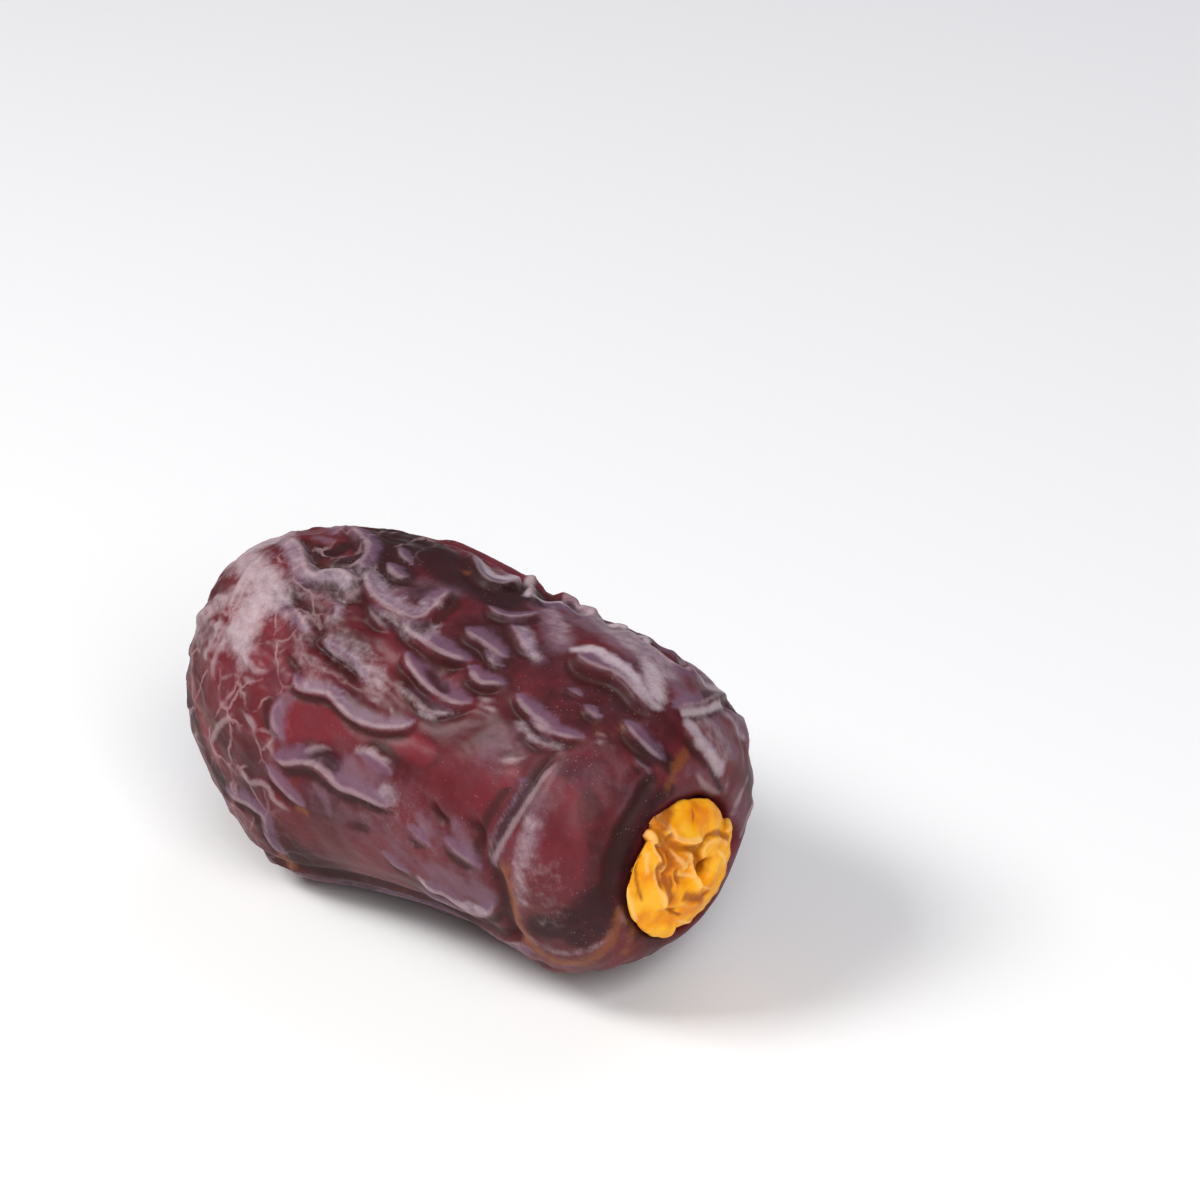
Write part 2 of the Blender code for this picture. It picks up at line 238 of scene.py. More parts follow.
# Skin of the date: the plain form, its swellings, and the folds of loose skin over it. What
# the camera sees is drawn as routes over the picture, in pixels, and everything else is given
# by stations and angles.
dateSkin = {
    "cells": 64,
    "width": 29.6 * mm,
    "height": 28.2 * mm,
    "axisHeight": 14.0 * mm,
    "coreReach": 12 * mm,
    # half of its outline in mm: along the fruit and out from its middle
    "outline": [
        (-27.2, 0.0), (-26.1, 5.8), (-22.9, 10.7), (-17.2, 13.8), (-10.0, 15.0),
        (-2.0, 14.8), (7.0, 14.2), (15.0, 13.3), (20.5, 11.9), (23.6, 9.9),
        (24.5, 8.2), (24.6, 7.3), (24.3, 6.6), (23.4, 6.25), (22.4, 6.1), (21.8, 5.5),
        (21.6, 3.4), (21.5, 0.0),
    ],
    "hollowSpan": (0.76, 0.90),
    "hollowShift": (-0.7 * mm, 0.0, -2.5 * mm),
    "lowRim": {"angle": 208, "full": 30, "fade": 45, "from": 0.60, "over": 0.16,
               "back": 2.9 * mm},
    "seatSpan": (0.80, 0.88),
    # broad swellings: station, angle, height and reach in mm
    "swellings": [
        (0.20, 20, 1.1, 6.0), (0.34, 133, 1.9, 6.5), (0.535, 178, 1.0, 7.0),
        (0.42, 342, 0.7, 3.5), (0.58, 143, -0.6, 5.0),
        (0.53, 72, 0.8, 2.4), (0.75, 138, 1.8, 4.8), (0.775, 85, 0.9, 4.5),
        (0.77, 60, 0.5, 4.0), (0.68, 344, 0.8, 4.5), (0.69, 288, 1.3, 5.0), (0.77, 220, -0.8, 5.0),
        (0.43, 67, -0.5, 2.8), (0.30, 40, -0.5, 1.8), (0.27, 60, -0.4, 1.8),
        (0.30, 5, -0.6, 1.8), (0.465, 74, -0.8, 1.1), (0.555, 31, -0.5, 1.6),
        (0.70, 8, -0.5, 2.6),
    ],
    # Folds on the seen side: height and width in mm, the side that falls away (+1 is the right
    # hand when walking along the crest), then the crest's route over the picture
    "folds": [
        (0.8, 1.2, 1, [(365, 570), (372, 590), (383, 603), (398, 612), (420, 620), (432, 610),
            (445, 596), (458, 587)]),
        (0.9, 1.1, 1, [(400, 616), (412, 630), (424, 640), (436, 648), (448, 654), (462, 659),
            (477, 667)]),
        (0.8, 1.1, 1, [(460, 624), (472, 636), (484, 643), (496, 652), (505, 659), (518, 658)]),
        (0.6, 0.8, 1, [(484, 602), (492, 611), (502, 617), (515, 619), (530, 617), (542, 611)]),
        (0.9, 1.1, 1, [(472, 556), (481, 575), (490, 584), (500, 587), (510, 584), (517, 579)]),
        (0.5, 0.9, 1, [(506, 618), (516, 632), (526, 648), (538, 662)]),
        (0.5, 0.7, 1, [(480, 648), (490, 657), (497, 665), (506, 668), (514, 665)]),
        (0.8, 1.0, 1, [(465, 662), (474, 674), (484, 683), (497, 684), (512, 689)]),
        (0.7, 1.0, 1, [(512, 690), (522, 703), (532, 713), (545, 723), (556, 732), (566, 736)]),
        (0.8, 1.2, 1, [(404, 646), (412, 664), (422, 678), (432, 688), (446, 697), (462, 703),
            (482, 703)]),
        (0.5, 0.8, 1, [(526, 716), (540, 726), (555, 733), (575, 738), (595, 740)]),
        (0.5, 0.8, 1, [(579, 700), (588, 711), (598, 718), (612, 714)]),
        (0.5, 0.8, 1, [(560, 686), (572, 692), (582, 698), (590, 698)]),
        (0.7, 1.0, 1, [(618, 716), (630, 730), (642, 743), (655, 755), (670, 766)]),
        (1.0, 1.5, 1, [(572, 648), (584, 661), (600, 669), (614, 674), (627, 684), (640, 699),
            (650, 709), (662, 713)]),
        (0.7, 1.2, -1, [(541, 584), (555, 594), (573, 609), (600, 621), (625, 635), (648, 650),
            (672, 668), (700, 681)]),
        (0.6, 1.0, 1, [(668, 712), (685, 706), (700, 704), (712, 699), (723, 691)]),
        (0.6, 1.0, 1, [(680, 716), (688, 731), (698, 742), (708, 752), (720, 766)]),
        (0.4, 1.0, -1, [(700, 709), (717, 704), (730, 716), (742, 731), (751, 747), (755, 760)]),
        (0.7, 0.9, 1, [(384, 560), (392, 571), (402, 578), (418, 575)]),
        (0.5, 0.7, 1, [(396, 546), (402, 557), (410, 566), (417, 571)]),
        (0.7, 1.0, 1, [(330, 540), (344, 531), (358, 535), (369, 548), (366, 561), (352, 567),
            (338, 563)]),
        (0.6, 1.1, -1, [(288, 538), (300, 552), (304, 568), (314, 578), (328, 573), (342, 575),
            (352, 584), (351, 594)]),
        (0.5, 0.9, -1, [(284, 613), (296, 614), (305, 621), (310, 631), (307, 641)]),
        (0.5, 0.9, -1, [(276, 590), (286, 602), (298, 613), (309, 617)]),
        (0.5, 0.8, 1, [(330, 600), (338, 606), (334, 618), (326, 622)]),
        (0.6, 0.9, 1, [(365, 600), (374, 612), (384, 624), (396, 634)]),
        (0.5, 0.8, 1, [(318, 640), (332, 650), (346, 660), (356, 668), (364, 680), (368, 692)]),
        (0.6, 0.8, 1, [(290, 668), (300, 686), (314, 690), (330, 693), (341, 704), (354, 716),
            (372, 724), (392, 727), (410, 725), (424, 716)]),
        (0.5, 0.8, 1, [(398, 683), (408, 690), (418, 697), (425, 706), (440, 711), (462, 713)]),
        (0.5, 0.8, 1, [(512, 719), (523, 727), (534, 737), (548, 744), (566, 746)]),
        (0.5, 1.0, 1, [(290, 694), (278, 706), (275, 720), (281, 736), (287, 748)]),
        (0.8, 1.1, 1, [(270, 755), (285, 760), (305, 760), (318, 764), (330, 774), (342, 784),
            (358, 789), (374, 796), (390, 805), (398, 800)]),
        (0.4, 0.9, -1, [(354, 748), (366, 751), (378, 758), (390, 768), (397, 784)]),
        (0.5, 0.9, 1, [(262, 760), (272, 773), (284, 787), (298, 801), (312, 813)]),
        (0.6, 0.9, 1, [(226, 789), (242, 798), (256, 805), (267, 817), (270, 834), (280, 848),
            (296, 860)]),
        (0.7, 1.0, 1, [(414, 876), (430, 885), (445, 890), (460, 900), (474, 908), (488, 910),
            (499, 900)]),
        (0.4, 0.7, 1, [(412, 884), (432, 894), (452, 903), (474, 913), (498, 924)]),
        (0.4, 0.9, 1, [(376, 846), (390, 858), (404, 869), (418, 880)]),
        (0.4, 1.0, 1, [(438, 832), (450, 845), (462, 854), (474, 863), (484, 878)]),
        (0.3, 1.0, 1, [(400, 822), (412, 832), (425, 842), (437, 852)]),
        (0.35, 1.1, 1, [(516, 772), (520, 786), (512, 802), (500, 820), (491, 840), (487, 858),
            (490, 876)]),
        (0.4, 0.7, 1, [(626, 751), (637, 762), (648, 771), (646, 784)]),
    ],
    # thin ridges, which the light picks out: height in mm and the route over the picture
    "threads": [
        (0.25, [(272, 548), (262, 558), (251, 571), (242, 584), (236, 597), (230, 609), (225, 622)]),
        (0.25, [(199, 620), (205, 612), (212, 608), (211, 616), (203, 617)]),
        (0.3, [(212, 600), (220, 597), (228, 602), (226, 610), (217, 610)]),
        (0.2, [(227, 655), (235, 648), (243, 650), (248, 660), (254, 668), (264, 672), (277, 671)]),
        (0.2, [(239, 676), (250, 680), (262, 684)]), (0.2, [(262, 637), (270, 643), (280, 643)]),
        (0.2, [(216, 690), (214, 672), (218, 655), (226, 640), (224, 625)]),
        (0.2, [(204, 658), (212, 648), (222, 643), (228, 634)]),
        (0.2, [(240, 641), (233, 630), (226, 620)]),
        (0.3, [(240, 703), (247, 714), (255, 725), (257, 736), (263, 743)]),
        (0.45, [(262, 748), (264, 743), (270, 744), (274, 750), (272, 757), (267, 757)]),
        (0.2, [(296, 752), (310, 749), (322, 747), (332, 749), (336, 758)]),
        (0.25, [(341, 744), (342, 757)]), (0.2, [(349, 749), (356, 763)]),
        (0.2, [(240, 712), (229, 718), (219, 728), (214, 742), (219, 757), (225, 770)]),
        (0.2, [(235, 770), (246, 773), (252, 781), (262, 782), (270, 788), (275, 798), (286, 807),
            (298, 817)]),
        (0.2, [(262, 617), (272, 621), (283, 617)]), (0.2, [(536, 566), (534, 576), (529, 586)]),
        (0.25, [(533, 584), (532, 596), (533, 606)]),
        (0.15, [(563, 756), (553, 765), (543, 775), (534, 790), (521, 811), (508, 832), (497, 853),
            (493, 865), (500, 882)]),
        (0.15, [(490, 760), (506, 762), (522, 758), (533, 749)]),
        (0.15, [(497, 748), (510, 748), (521, 752)]), (0.15, [(470, 694), (486, 699), (502, 704)]),
        (0.15, [(476, 707), (492, 709), (507, 716)]), (0.15, [(590, 728), (602, 735), (616, 739)]),
        (0.15, [(586, 744), (600, 742), (615, 741)]), (0.15, [(300, 672), (309, 684), (316, 697)]),
        (0.2, [(386, 700), (393, 712), (386, 722)]), (0.2, [(618, 903), (622, 918), (631, 932)]),
        (0.35, [(692, 768), (703, 783), (714, 793), (722, 799)]),
        (0.3, [(728, 768), (727, 783), (723, 798)]), (0.2, [(757, 790), (749, 812), (741, 835)]),
        (0.2, [(748, 778), (738, 800), (731, 818)]),
    ],
    # creases: depth and width in mm, then the route over the picture
    "creases": [
        (0.5, 0.8, [(562, 749), (548, 760), (537, 775), (527, 793), (514, 813), (503, 832), (495, 850),
            (491, 864), (497, 880), (504, 900), (507, 920), (518, 938), (532, 954)]),
        (0.6, 0.5, [(292, 582), (306, 583), (320, 587), (332, 587), (337, 595), (347, 600), (362, 598),
            (376, 599)]),
        (0.7, 0.5, [(270, 584), (281, 597), (293, 607), (304, 613)]),
        (0.7, 0.5, [(306, 613), (316, 623), (319, 634), (313, 642), (324, 650), (338, 657), (350, 665),
            (360, 677), (368, 688)]),
        (0.5, 0.5, [(297, 538), (307, 548), (313, 558), (325, 566), (342, 569), (362, 566)]),
        (0.5, 0.5, [(282, 645), (288, 660), (297, 671), (306, 684)]),
        (0.6, 0.5, [(296, 756), (312, 756), (322, 753), (330, 760), (337, 767), (346, 767)]),
        (0.6, 0.5, [(420, 795), (430, 805), (437, 817), (446, 822), (455, 815)]),
        (0.6, 0.6, [(462, 811), (471, 823), (479, 835), (482, 850), (483, 864)]),
        (0.5, 0.5, [(405, 660), (414, 676), (428, 690), (444, 700)]),
        (0.5, 0.5, [(420, 655), (434, 672), (446, 688), (458, 698)]),
        (1.0, 0.9, [(660, 768), (650, 784), (641, 800), (631, 817), (621, 838), (614, 860), (610, 885),
            (613, 910)]),
        (0.4, 0.5, [(640, 748), (652, 758), (664, 765)]),
        (0.5, 0.5, [(275, 570), (277, 580), (271, 586)]),
        (0.4, 0.5, [(383, 563), (396, 577), (412, 583), (432, 586)]),
        (0.3, 0.8, [(345, 832), (362, 829), (380, 834)]),
    ],
    "fading": 2.2 * mm,           # how far from its ends a fold takes its full height
    "threadWidth": 0.32 * mm,
    "edgeWidth": 0.24 * mm,
    "lap": 0.4,                   # how far a crest leans over its lee side, per height
    # folds where the camera doesn't reach: angles from first to last, the rest drawn at random
    "hidden": {"count": 17, "first": 128, "last": 322, "height": 0.7, "width": 1.2, "seed": 5,
               "middle": (0.38, 0.62), "reach": (0.14, 0.24), "sway": 7, "heights": (0.7, 1.2)},
    "wrinkles": {"spacing": 2.0 * mm, "stretch": 1.7, "steps": 2500, "drive": 0.35,
                 "height": 0.32 * mm, "lap": 0.35 * mm, "lapAngle": 70, "seed": 11,
                 "start": 0.1, "stiffest": 97, "pace": 1.7,
                 "steering": 0.35, "foldUnit": 0.6 * mm, "foldMost": 1.2,
                 "broader": 0.15 * mm, "lessWhereDrawn": 0.65},
    # cross section of the wrinkles: broad plates with narrow valleys on the body, thin ridges
    # with wide hollows over the tip
    "plates": {"scale": 0.55, "power": 1.6, "level": 0.45, "tipPower": 2.5, "tipLevel": 0.3,
               "tipFrom": 0.30, "tipFade": 0.12, "tipLess": 0.5},
    # where the skin lies smooth: station, angle, reach in mm, how smooth
    "calm": [
        (0.44, 90, 5.0, 0.9), (0.55, 86, 5.5, 0.95), (0.64, 90, 4.5, 0.8), (0.60, 112, 5.0, 0.8),
        (0.40, 110, 4.0, 0.5), (0.78, 80, 7.0, 1.0), (0.81, 112, 5.0, 0.9), (0.70, -16, 4.0, 0.8),
        (0.82, -25, 4.0, 0.7), (0.43, 67, 3.0, 0.8), (0.50, 120, 6.0, 0.7), (0.62, 60, 2.5, 0.4),
    ],
    # where it is crumpled finely: station, angle, reach in mm, how much
    "crumpled": [
        (0.38, 38, 4.0, 1.0), (0.43, 47, 3.0, 1.0), (0.33, 50, 3.0, 0.6), (0.46, 46, 2.5, 0.8),
        (0.33, 110, 5.0, 0.5), (0.15, 60, 6.0, 0.5), (0.83, 20, 3.0, 0.6),
    ],
    "crumple": {"size": 0.9 * mm, "height": 0.13 * mm, "everywhere": 0.12, "rough": 0.15,
                "offset": 5.0},
    "tipLines": {"size": 4.0 * mm, "second": 0.7, "height": 0.12 * mm, "until": 0.34,
                 "fade": 0.08, "sharpness": 0.1, "offsets": (3.0, 8.0)},
    "noiseStretch": (0.6, 1, 1),  # noise is drawn out along the fruit
    # the flat spot that it rests on
    "spot": {"reach": 6.0 * mm, "inner": 0.6, "length": 8.0 * mm, "width": 4.5 * mm,
             "lift": 0.4 * mm, "liftFade": 0.5},
    # how the relief tints the skin: rounds of evening out, depth at which the painted shade of a
    # valley is full, its share, and the height from the lowest tint to the highest
    "tint": {"rounds": 60, "valleyShade": 0.25 * mm, "share": 0.7, "span": 0.5 * mm},
    # how squarely the skin must face the camera to count as seen, and how far past its horizon
    # the bands still run
    "seenSpan": 0.5,
    "bandSpan": 0.25,
    # Coloured bands: share, width in mm and route over the picture. Pale bands are thick dust, and
    # over the shiny panels a painted highlight and reflection; lilac ones a thin bloom with a painted
    # sheen; the deepest ones the darkest skin, mostly painted shade: a cast shadow along the top,
    # shade under the lobe and in the gap by the cap; red is bare, amber thin flesh.
    # thick dust, and over the shiny panels at the upper right a painted highlight and reflection, with
    # small painted glints
    "dustAndHighlightBands": [
        (1.0, 0.3, [(541, 584), (560, 598), (580, 611), (600, 618), (622, 629), (640, 641), (655, 652),
            (668, 665)]),
        (0.5, 1.6, [(590, 618), (615, 632), (640, 650), (662, 670)]),
        (0.9, 0.5, [(577, 650), (595, 650), (612, 660), (630, 673), (642, 690), (656, 706)]),
        (0.8, 0.9, [(650, 668), (655, 682), (658, 696)]),
        (1.0, 0.5, [(697, 680), (708, 688), (718, 693)]),
        (0.35, 0.9, [(552, 612), (558, 625), (560, 640)]),
        (0.45, 0.6, [(524, 628), (530, 643), (537, 658)]),
        (0.9, 0.35, [(682, 712), (700, 710), (720, 706)]),
        (0.6, 0.4, [(722, 712), (732, 724), (741, 738)]),
        (0.4, 1.3, [(705, 722), (715, 737), (724, 750)]),
        (0.8, 0.7, [(690, 724), (700, 740), (710, 752), (720, 768)]),
        (0.8, 0.3, [(536, 566), (533, 580), (528, 586)]),
        (0.8, 0.6, [(484, 566), (494, 577), (504, 582), (514, 580)]),
        (0.45, 1.1, [(285, 540), (298, 555), (305, 570), (325, 577), (345, 580), (350, 590)]),
        (0.4, 1.0, [(365, 572), (380, 585), (392, 600), (410, 610), (430, 606)]),
        (0.4, 0.8, [(392, 612), (410, 630), (428, 636), (434, 628)]),
        (0.35, 1.0, [(290, 588), (310, 592), (330, 596), (340, 612), (330, 622)]),
        (0.3, 0.9, [(288, 614), (302, 622), (308, 634), (302, 646), (300, 660), (320, 668)]),
        (0.35, 1.2, [(330, 640), (350, 650), (370, 668), (378, 690)]),
        (0.7, 1.8, [(192, 616), (208, 592), (226, 570), (248, 552), (278, 538)]),
        (0.5, 1.1, [(190, 650), (202, 620), (225, 600), (240, 592)]),
        (0.6, 0.7, [(250, 580), (252, 592), (256, 606)]),
        (0.5, 0.6, [(222, 622), (214, 640), (206, 655)]), (0.5, 0.6, [(384, 790), (392, 798)]),
        (0.5, 0.4, [(356, 750), (370, 752), (386, 763)]),
        (0.4, 0.35, [(398, 684), (412, 695), (424, 706), (440, 711), (452, 711)]),
        (0.6, 0.5, [(424, 712), (432, 713)]),
        (0.4, 0.45, [(520, 722), (535, 735), (546, 743), (560, 745)]),
        (0.5, 0.8, [(366, 668), (378, 672), (380, 682)]),
        (0.6, 0.4, [(420, 878), (440, 890), (465, 901), (485, 907)]),
        (0.15, 2.0, [(370, 815), (400, 820), (430, 840)]),
        (0.4, 1.0, [(532, 825), (523, 850), (519, 875), (521, 900)]),
        (0.2, 1.5, [(545, 870), (550, 900), (550, 920)]),
        (0.5, 0.3, [(757, 790), (749, 812), (741, 835)]),
        (0.4, 0.3, [(748, 778), (738, 800), (731, 818)]),
        (0.35, 0.5, [(520, 932), (545, 948), (570, 953), (598, 946), (612, 935)]),
    ],
    # a thin bloom with a painted sheen and reflection over it
    "bloomAndSheenBands": [
        (0.9, 1.5, [(575, 618), (600, 629), (625, 645), (648, 661), (668, 678)]),
        (1.0, 1.1, [(673, 675), (682, 690), (688, 702)]),
        (0.9, 1.4, [(545, 605), (555, 625), (560, 645)]),
        (0.8, 0.8, [(515, 620), (527, 640), (538, 660)]),
        (0.9, 1.2, [(715, 722), (725, 738), (733, 750)]), (0.6, 0.5, [(533, 590), (532, 606)]),
        (0.6, 0.25, [(430, 536), (445, 545), (458, 554), (470, 566)]),
        (0.9, 0.9, [(352, 532), (364, 540), (367, 553), (355, 562), (340, 562)]),
        (0.8, 0.6, [(316, 538), (330, 542)]),
        (0.8, 1.6, [(375, 580), (400, 588), (430, 590), (450, 590)]),
        (0.7, 0.8, [(290, 698), (280, 712), (280, 735)]),
        (0.75, 1.2, [(346, 766), (368, 779), (388, 793)]),
        (0.8, 0.7, [(318, 785), (326, 800), (328, 812)]), (0.5, 0.7, [(270, 762), (286, 778)]),
        (0.8, 1.3, [(436, 872), (460, 885), (485, 893)]), (0.7, 0.7, [(420, 818), (430, 832)]),
        (0.8, 0.8, [(456, 825), (466, 840), (474, 852)]), (0.7, 0.7, [(396, 848), (408, 858)]),
        (0.5, 0.8, [(390, 815), (400, 824)]),
        (0.35, 3.0, [(400, 800), (420, 830), (450, 860), (470, 890)]),
        (0.4, 2.5, [(330, 800), (350, 820), (390, 840), (420, 870)]),
        (0.5, 1.5, [(490, 760), (500, 740), (520, 735)]),
        (0.35, 2.5, [(560, 770), (600, 765), (620, 790)]),
        (0.6, 1.4, [(540, 800), (530, 830), (525, 860)]),
        (0.7, 1.3, [(738, 795), (748, 825), (744, 865), (736, 895)]),
        (0.5, 0.8, [(690, 770), (710, 780), (728, 790)]),
    ],
    # painted shade: a cast shadow along the top, and shade under the lobe, along the underside and in
    # the gap by the cap
    "paintedShadeBands": [
        (1.0, 0.25, [(692, 703), (705, 700), (718, 694)]),
        (0.8, 1.6, [(188, 690), (196, 722), (208, 758), (224, 785)]),
        (0.5, 0.8, [(223, 732), (230, 755)]), (0.8, 0.7, [(250, 808), (260, 825), (270, 840)]),
        (0.55, 1.2, [(276, 825), (292, 845)]),
        (0.5, 1.3, [(586, 800), (594, 825), (598, 850), (594, 880)]),
        (0.5, 1.6, [(570, 768), (600, 768), (622, 784)]),
        (0.8, 1.6, [(540, 928), (560, 925), (580, 915), (598, 900), (602, 925), (580, 938)]),
        (0.8, 0.9, [(652, 780), (640, 802), (628, 828), (617, 858), (612, 890), (614, 920)]),
        (0.8, 0.9, [(668, 790), (652, 806), (640, 824), (630, 845), (624, 868), (622, 893), (627, 915),
            (640, 934)]),
        (0.9, 0.4, [(711, 770), (716, 780), (720, 790)]),
        (0.6, 0.5, [(560, 748), (540, 766), (528, 785), (518, 805), (506, 828), (498, 848)]),
        (0.55, 5.0, [(450, 600), (500, 650), (560, 690), (620, 720)]),
        (1.0, 2.6, [(330, 518), (380, 528), (420, 548), (460, 572), (500, 596)]),
        (0.9, 2.0, [(450, 545), (500, 565), (550, 590)]),
        (0.9, 0.9, [(318, 550), (330, 556), (345, 548)]),
        (0.8, 0.9, [(640, 745), (655, 752), (668, 762)]),
        (0.7, 2.5, [(280, 845), (330, 870), (390, 890), (440, 905), (500, 935)]),
    ],
    "redBands": [
        (0.9, 1.6, [(192, 690), (200, 722), (212, 752)]),
        (1.0, 1.7, [(294, 724), (312, 722), (330, 726)]), (1.0, 1.2, [(403, 742), (425, 752)]),
        (0.9, 1.6, [(262, 620), (275, 628)]), (0.8, 1.2, [(255, 655), (266, 664)]),
        (0.9, 0.8, [(512, 775), (506, 790), (498, 805)]),
        (0.6, 1.3, [(572, 800), (580, 825), (588, 850), (590, 875)]),
        (0.45, 2.0, [(420, 740), (440, 760), (470, 780)]),
    ],
    "amberBands": [
        (0.9, 0.7, [(505, 868), (509, 885), (512, 902), (516, 918), (524, 936), (540, 952), (560, 962),
            (585, 962), (606, 948), (617, 930), (620, 915)]),
        (0.8, 0.6, [(684, 752), (678, 765), (672, 778), (668, 785)]),
        (0.9, 0.8, [(285, 858), (292, 864)]), (0.6, 0.9, [(624, 915), (634, 935), (630, 952)]),
        (0.9, 0.45, [(300, 808), (306, 814)]), (0.4, 0.4, [(283, 790), (300, 808)]),
        (0.35, 0.9, [(198, 700), (203, 730)]), (0.5, 0.4, [(460, 571), (472, 572)]),
        (0.4, 0.6, [(595, 728), (612, 733), (625, 728)]),
    ],
    "bandSoftness": 0.25 * mm,
    # amber places that the camera doesn't see: station, angle, reach in mm, share
    "amber": [(0.77, 146, 1.8, 0.6), (0.30, 215, 1.6, 0.8), (0.80, 235, 1.4, 0.8)],
}
skinLine = smoothLine(dateSkin["outline"], lineCounts["outline"], mirrored=True) * mm
widest = skinLine[:, 1].max()


def skinPoints(station, angle):
    # the unwrinkled skin
    station = np.asarray(station, float)
    first, full = dateSkin["hollowSpan"]
    points = turned(
        skinLine, station, angle, dateSkin["width"] / 2 / widest, dateSkin["height"] / 2 / widest
    )
    points[:, 2] += dateSkin["axisHeight"]
    into = eased((station - first) / (full - first))
    low = dateSkin["lowRim"]
    turn = angleBetween(np.asarray(angle, float), low["angle"])
    share = eased((low["full"] + low["fade"] - turn) / low["fade"])
    share *= eased((station - low["from"]) / low["over"]) * (1 - into)
    points[:, 0] -= low["back"] * share
    return points + into[:, None] * np.array(dateSkin["hollowShift"])


def skinCore(points):
    # the nearest place on a line through the fruit's middle
    core = points.copy()
    core[:, 0] = np.clip(core[:, 0], -dateSkin["coreReach"], dateSkin["coreReach"])
    core[:, 1] = 0
    core[:, 2] = dateSkin["axisHeight"]
    return core


# Cross section of a fold: across it in fold widths, with the crest at 0 and its lee side
# beyond; heights are shares of the fold's own
foldShape = {
    "search": 5 * mm,             # how far from its line a fold is looked for
    "pastEnd": 0.8 * mm,
    "endWidth": 0.3,              # what is left of its width at its ends
    "roll": 0.6, "leeWidth": 0.4,
    "groove": 0.17, "groovePlace": 0.9, "grooveWidth": 0.6, "valleyShadeWidth": 0.65,
    "crestPlace": 0.45, "crestBack": 0.8, "crestFront": 0.45,
    "edgePlace": 0.15 * mm,
    "fullEdge": 0.7,              # height in mm from which its edge is as pale as it gets
}


def beside(points, line, core, fading):
    # which points lie near a line on a piece with that core, how far to its right, how much it
    # counts there, and which way its right is
    ahead = np.gradient(line, axis=0)
    pace = np.linalg.norm(ahead, axis=1)
    ahead /= pace[:, None]
    right = np.cross(ahead, line - core(line))
    right /= np.linalg.norm(right, axis=1)[:, None]
    low, high = line.min(axis=0) - foldShape["search"], line.max(axis=0) + foldShape["search"]
    close = np.flatnonzero(np.all((points > low) & (points < high), axis=1))
    gap = np.linalg.norm(points[close, None] - line[None], axis=2)
    near = gap.argmin(axis=1)
    offset = points[close] - line[near]
    aside = np.sum(offset * right[near], axis=1)
    past = np.sum(offset * ahead[near], axis=1)
    run = np.cumsum(pace)
    taper = np.minimum(run, run[-1] - run) / fading
    share = eased(taper[near]) * bell(past / foldShape["pastEnd"])
    return close, aside, share, right[near]


def hiddenFolds():
    # long folds where the camera doesn't reach
    rule = dateSkin["hidden"]
    draw = random.Random(rule["seed"])
    step = (rule["last"] - rule["first"]) / (rule["count"] - 1)
    folds = []
    for i in range(rule["count"]):
        middle = draw.uniform(*rule["middle"])
        reach = draw.uniform(*rule["reach"])
        angle = rule["first"] + i * step
        route = [
            (middle + reach * share, angle + draw.uniform(-rule["sway"], rule["sway"]))
            for share in (-1, -0.5, 0, 0.5, 1)
        ]
        height = rule["height"] * draw.uniform(*rule["heights"])
        line = smoothLine(skinPoints(*np.transpose(route)), lineCounts["hidden"])
        folds.append((height, rule["width"], draw.choice((-1, 1)), line))
    return folds


def foldRelief(piece, points, surface, core, more=(), broader=0):
    # height of a piece's drawn folds, how far each point leans over sideways, and where their
    # thin edges, their broad crests and their valleys lie; on the skin the edges take a painted
    # highlight, the crests bloom with a painted sheen, and on both pieces the valleys take painted
    # shade
    shape = foldShape
    relief, edge, crest, valleyShade = np.zeros((4, len(points)))
    lean = np.zeros((len(points), 3))

    def lineAt(route):
        return seenPoints(surface, route, lineCounts["fold"])

    folds = [(height, width, side, lineAt(route)) for height, width, side, route in piece["folds"]]
    for height, width, side, line in folds + list(more):
        close, aside, share, right = beside(points, line, core, piece["fading"])
        narrowed = shape["endWidth"] + (1 - shape["endWidth"]) * share
        lee = aside * side / (width * mm + broader) / narrowed
        roll = np.where(lee < 0, np.exp(lee), bell(lee / shape["leeWidth"]))
        groove = bell((lee - shape["groovePlace"]) / shape["grooveWidth"])
        relief[close] += height * mm * share * (shape["roll"] * roll - shape["groove"] * groove)
        lean[close] += (side * piece["lap"] * height * mm * share * bell(lee))[:, None] * right
        # the face before each crest, which the skin colours with mauve bloom and a painted sheen
        back = lee + shape["crestPlace"]
        blade = bell(back / np.where(back < 0, shape["crestBack"], shape["crestFront"]))
        crest[close] = np.maximum(crest[close], eased(2 * share) * blade)
        # a thin line at the crest, which the skin colours with a painted highlight
        thin = bell((aside * side + shape["edgePlace"]) / piece["edgeWidth"])
        thin *= share * min(1, height / shape["fullEdge"])
        edge[close] = np.maximum(edge[close], thin)
        # the valley on the lee side, which takes painted shade
        dip = share * bell((lee - shape["groovePlace"]) / shape["valleyShadeWidth"])
        valleyShade[close] = np.maximum(valleyShade[close], dip)
    for depth, width, route in piece["creases"]:
        close, aside, share, _ = beside(points, lineAt(route), core, piece["fading"])
        # the crease, which takes painted shade
        dip = share * bell(aside / (width * mm + broader))
        relief[close] -= depth * mm * dip
        valleyShade[close] = np.maximum(valleyShade[close], dip)
    for height, route in piece["threads"]:
        close, aside, share, _ = beside(points, lineAt(route), core, piece["fading"])
        rise = share * bell(aside / (piece["threadWidth"] + broader))
        relief[close] += height * mm * rise
        # threads take the same painted highlight
        edge[close] = np.maximum(edge[close], rise)
    return relief, lean, edge, crest, valleyShade


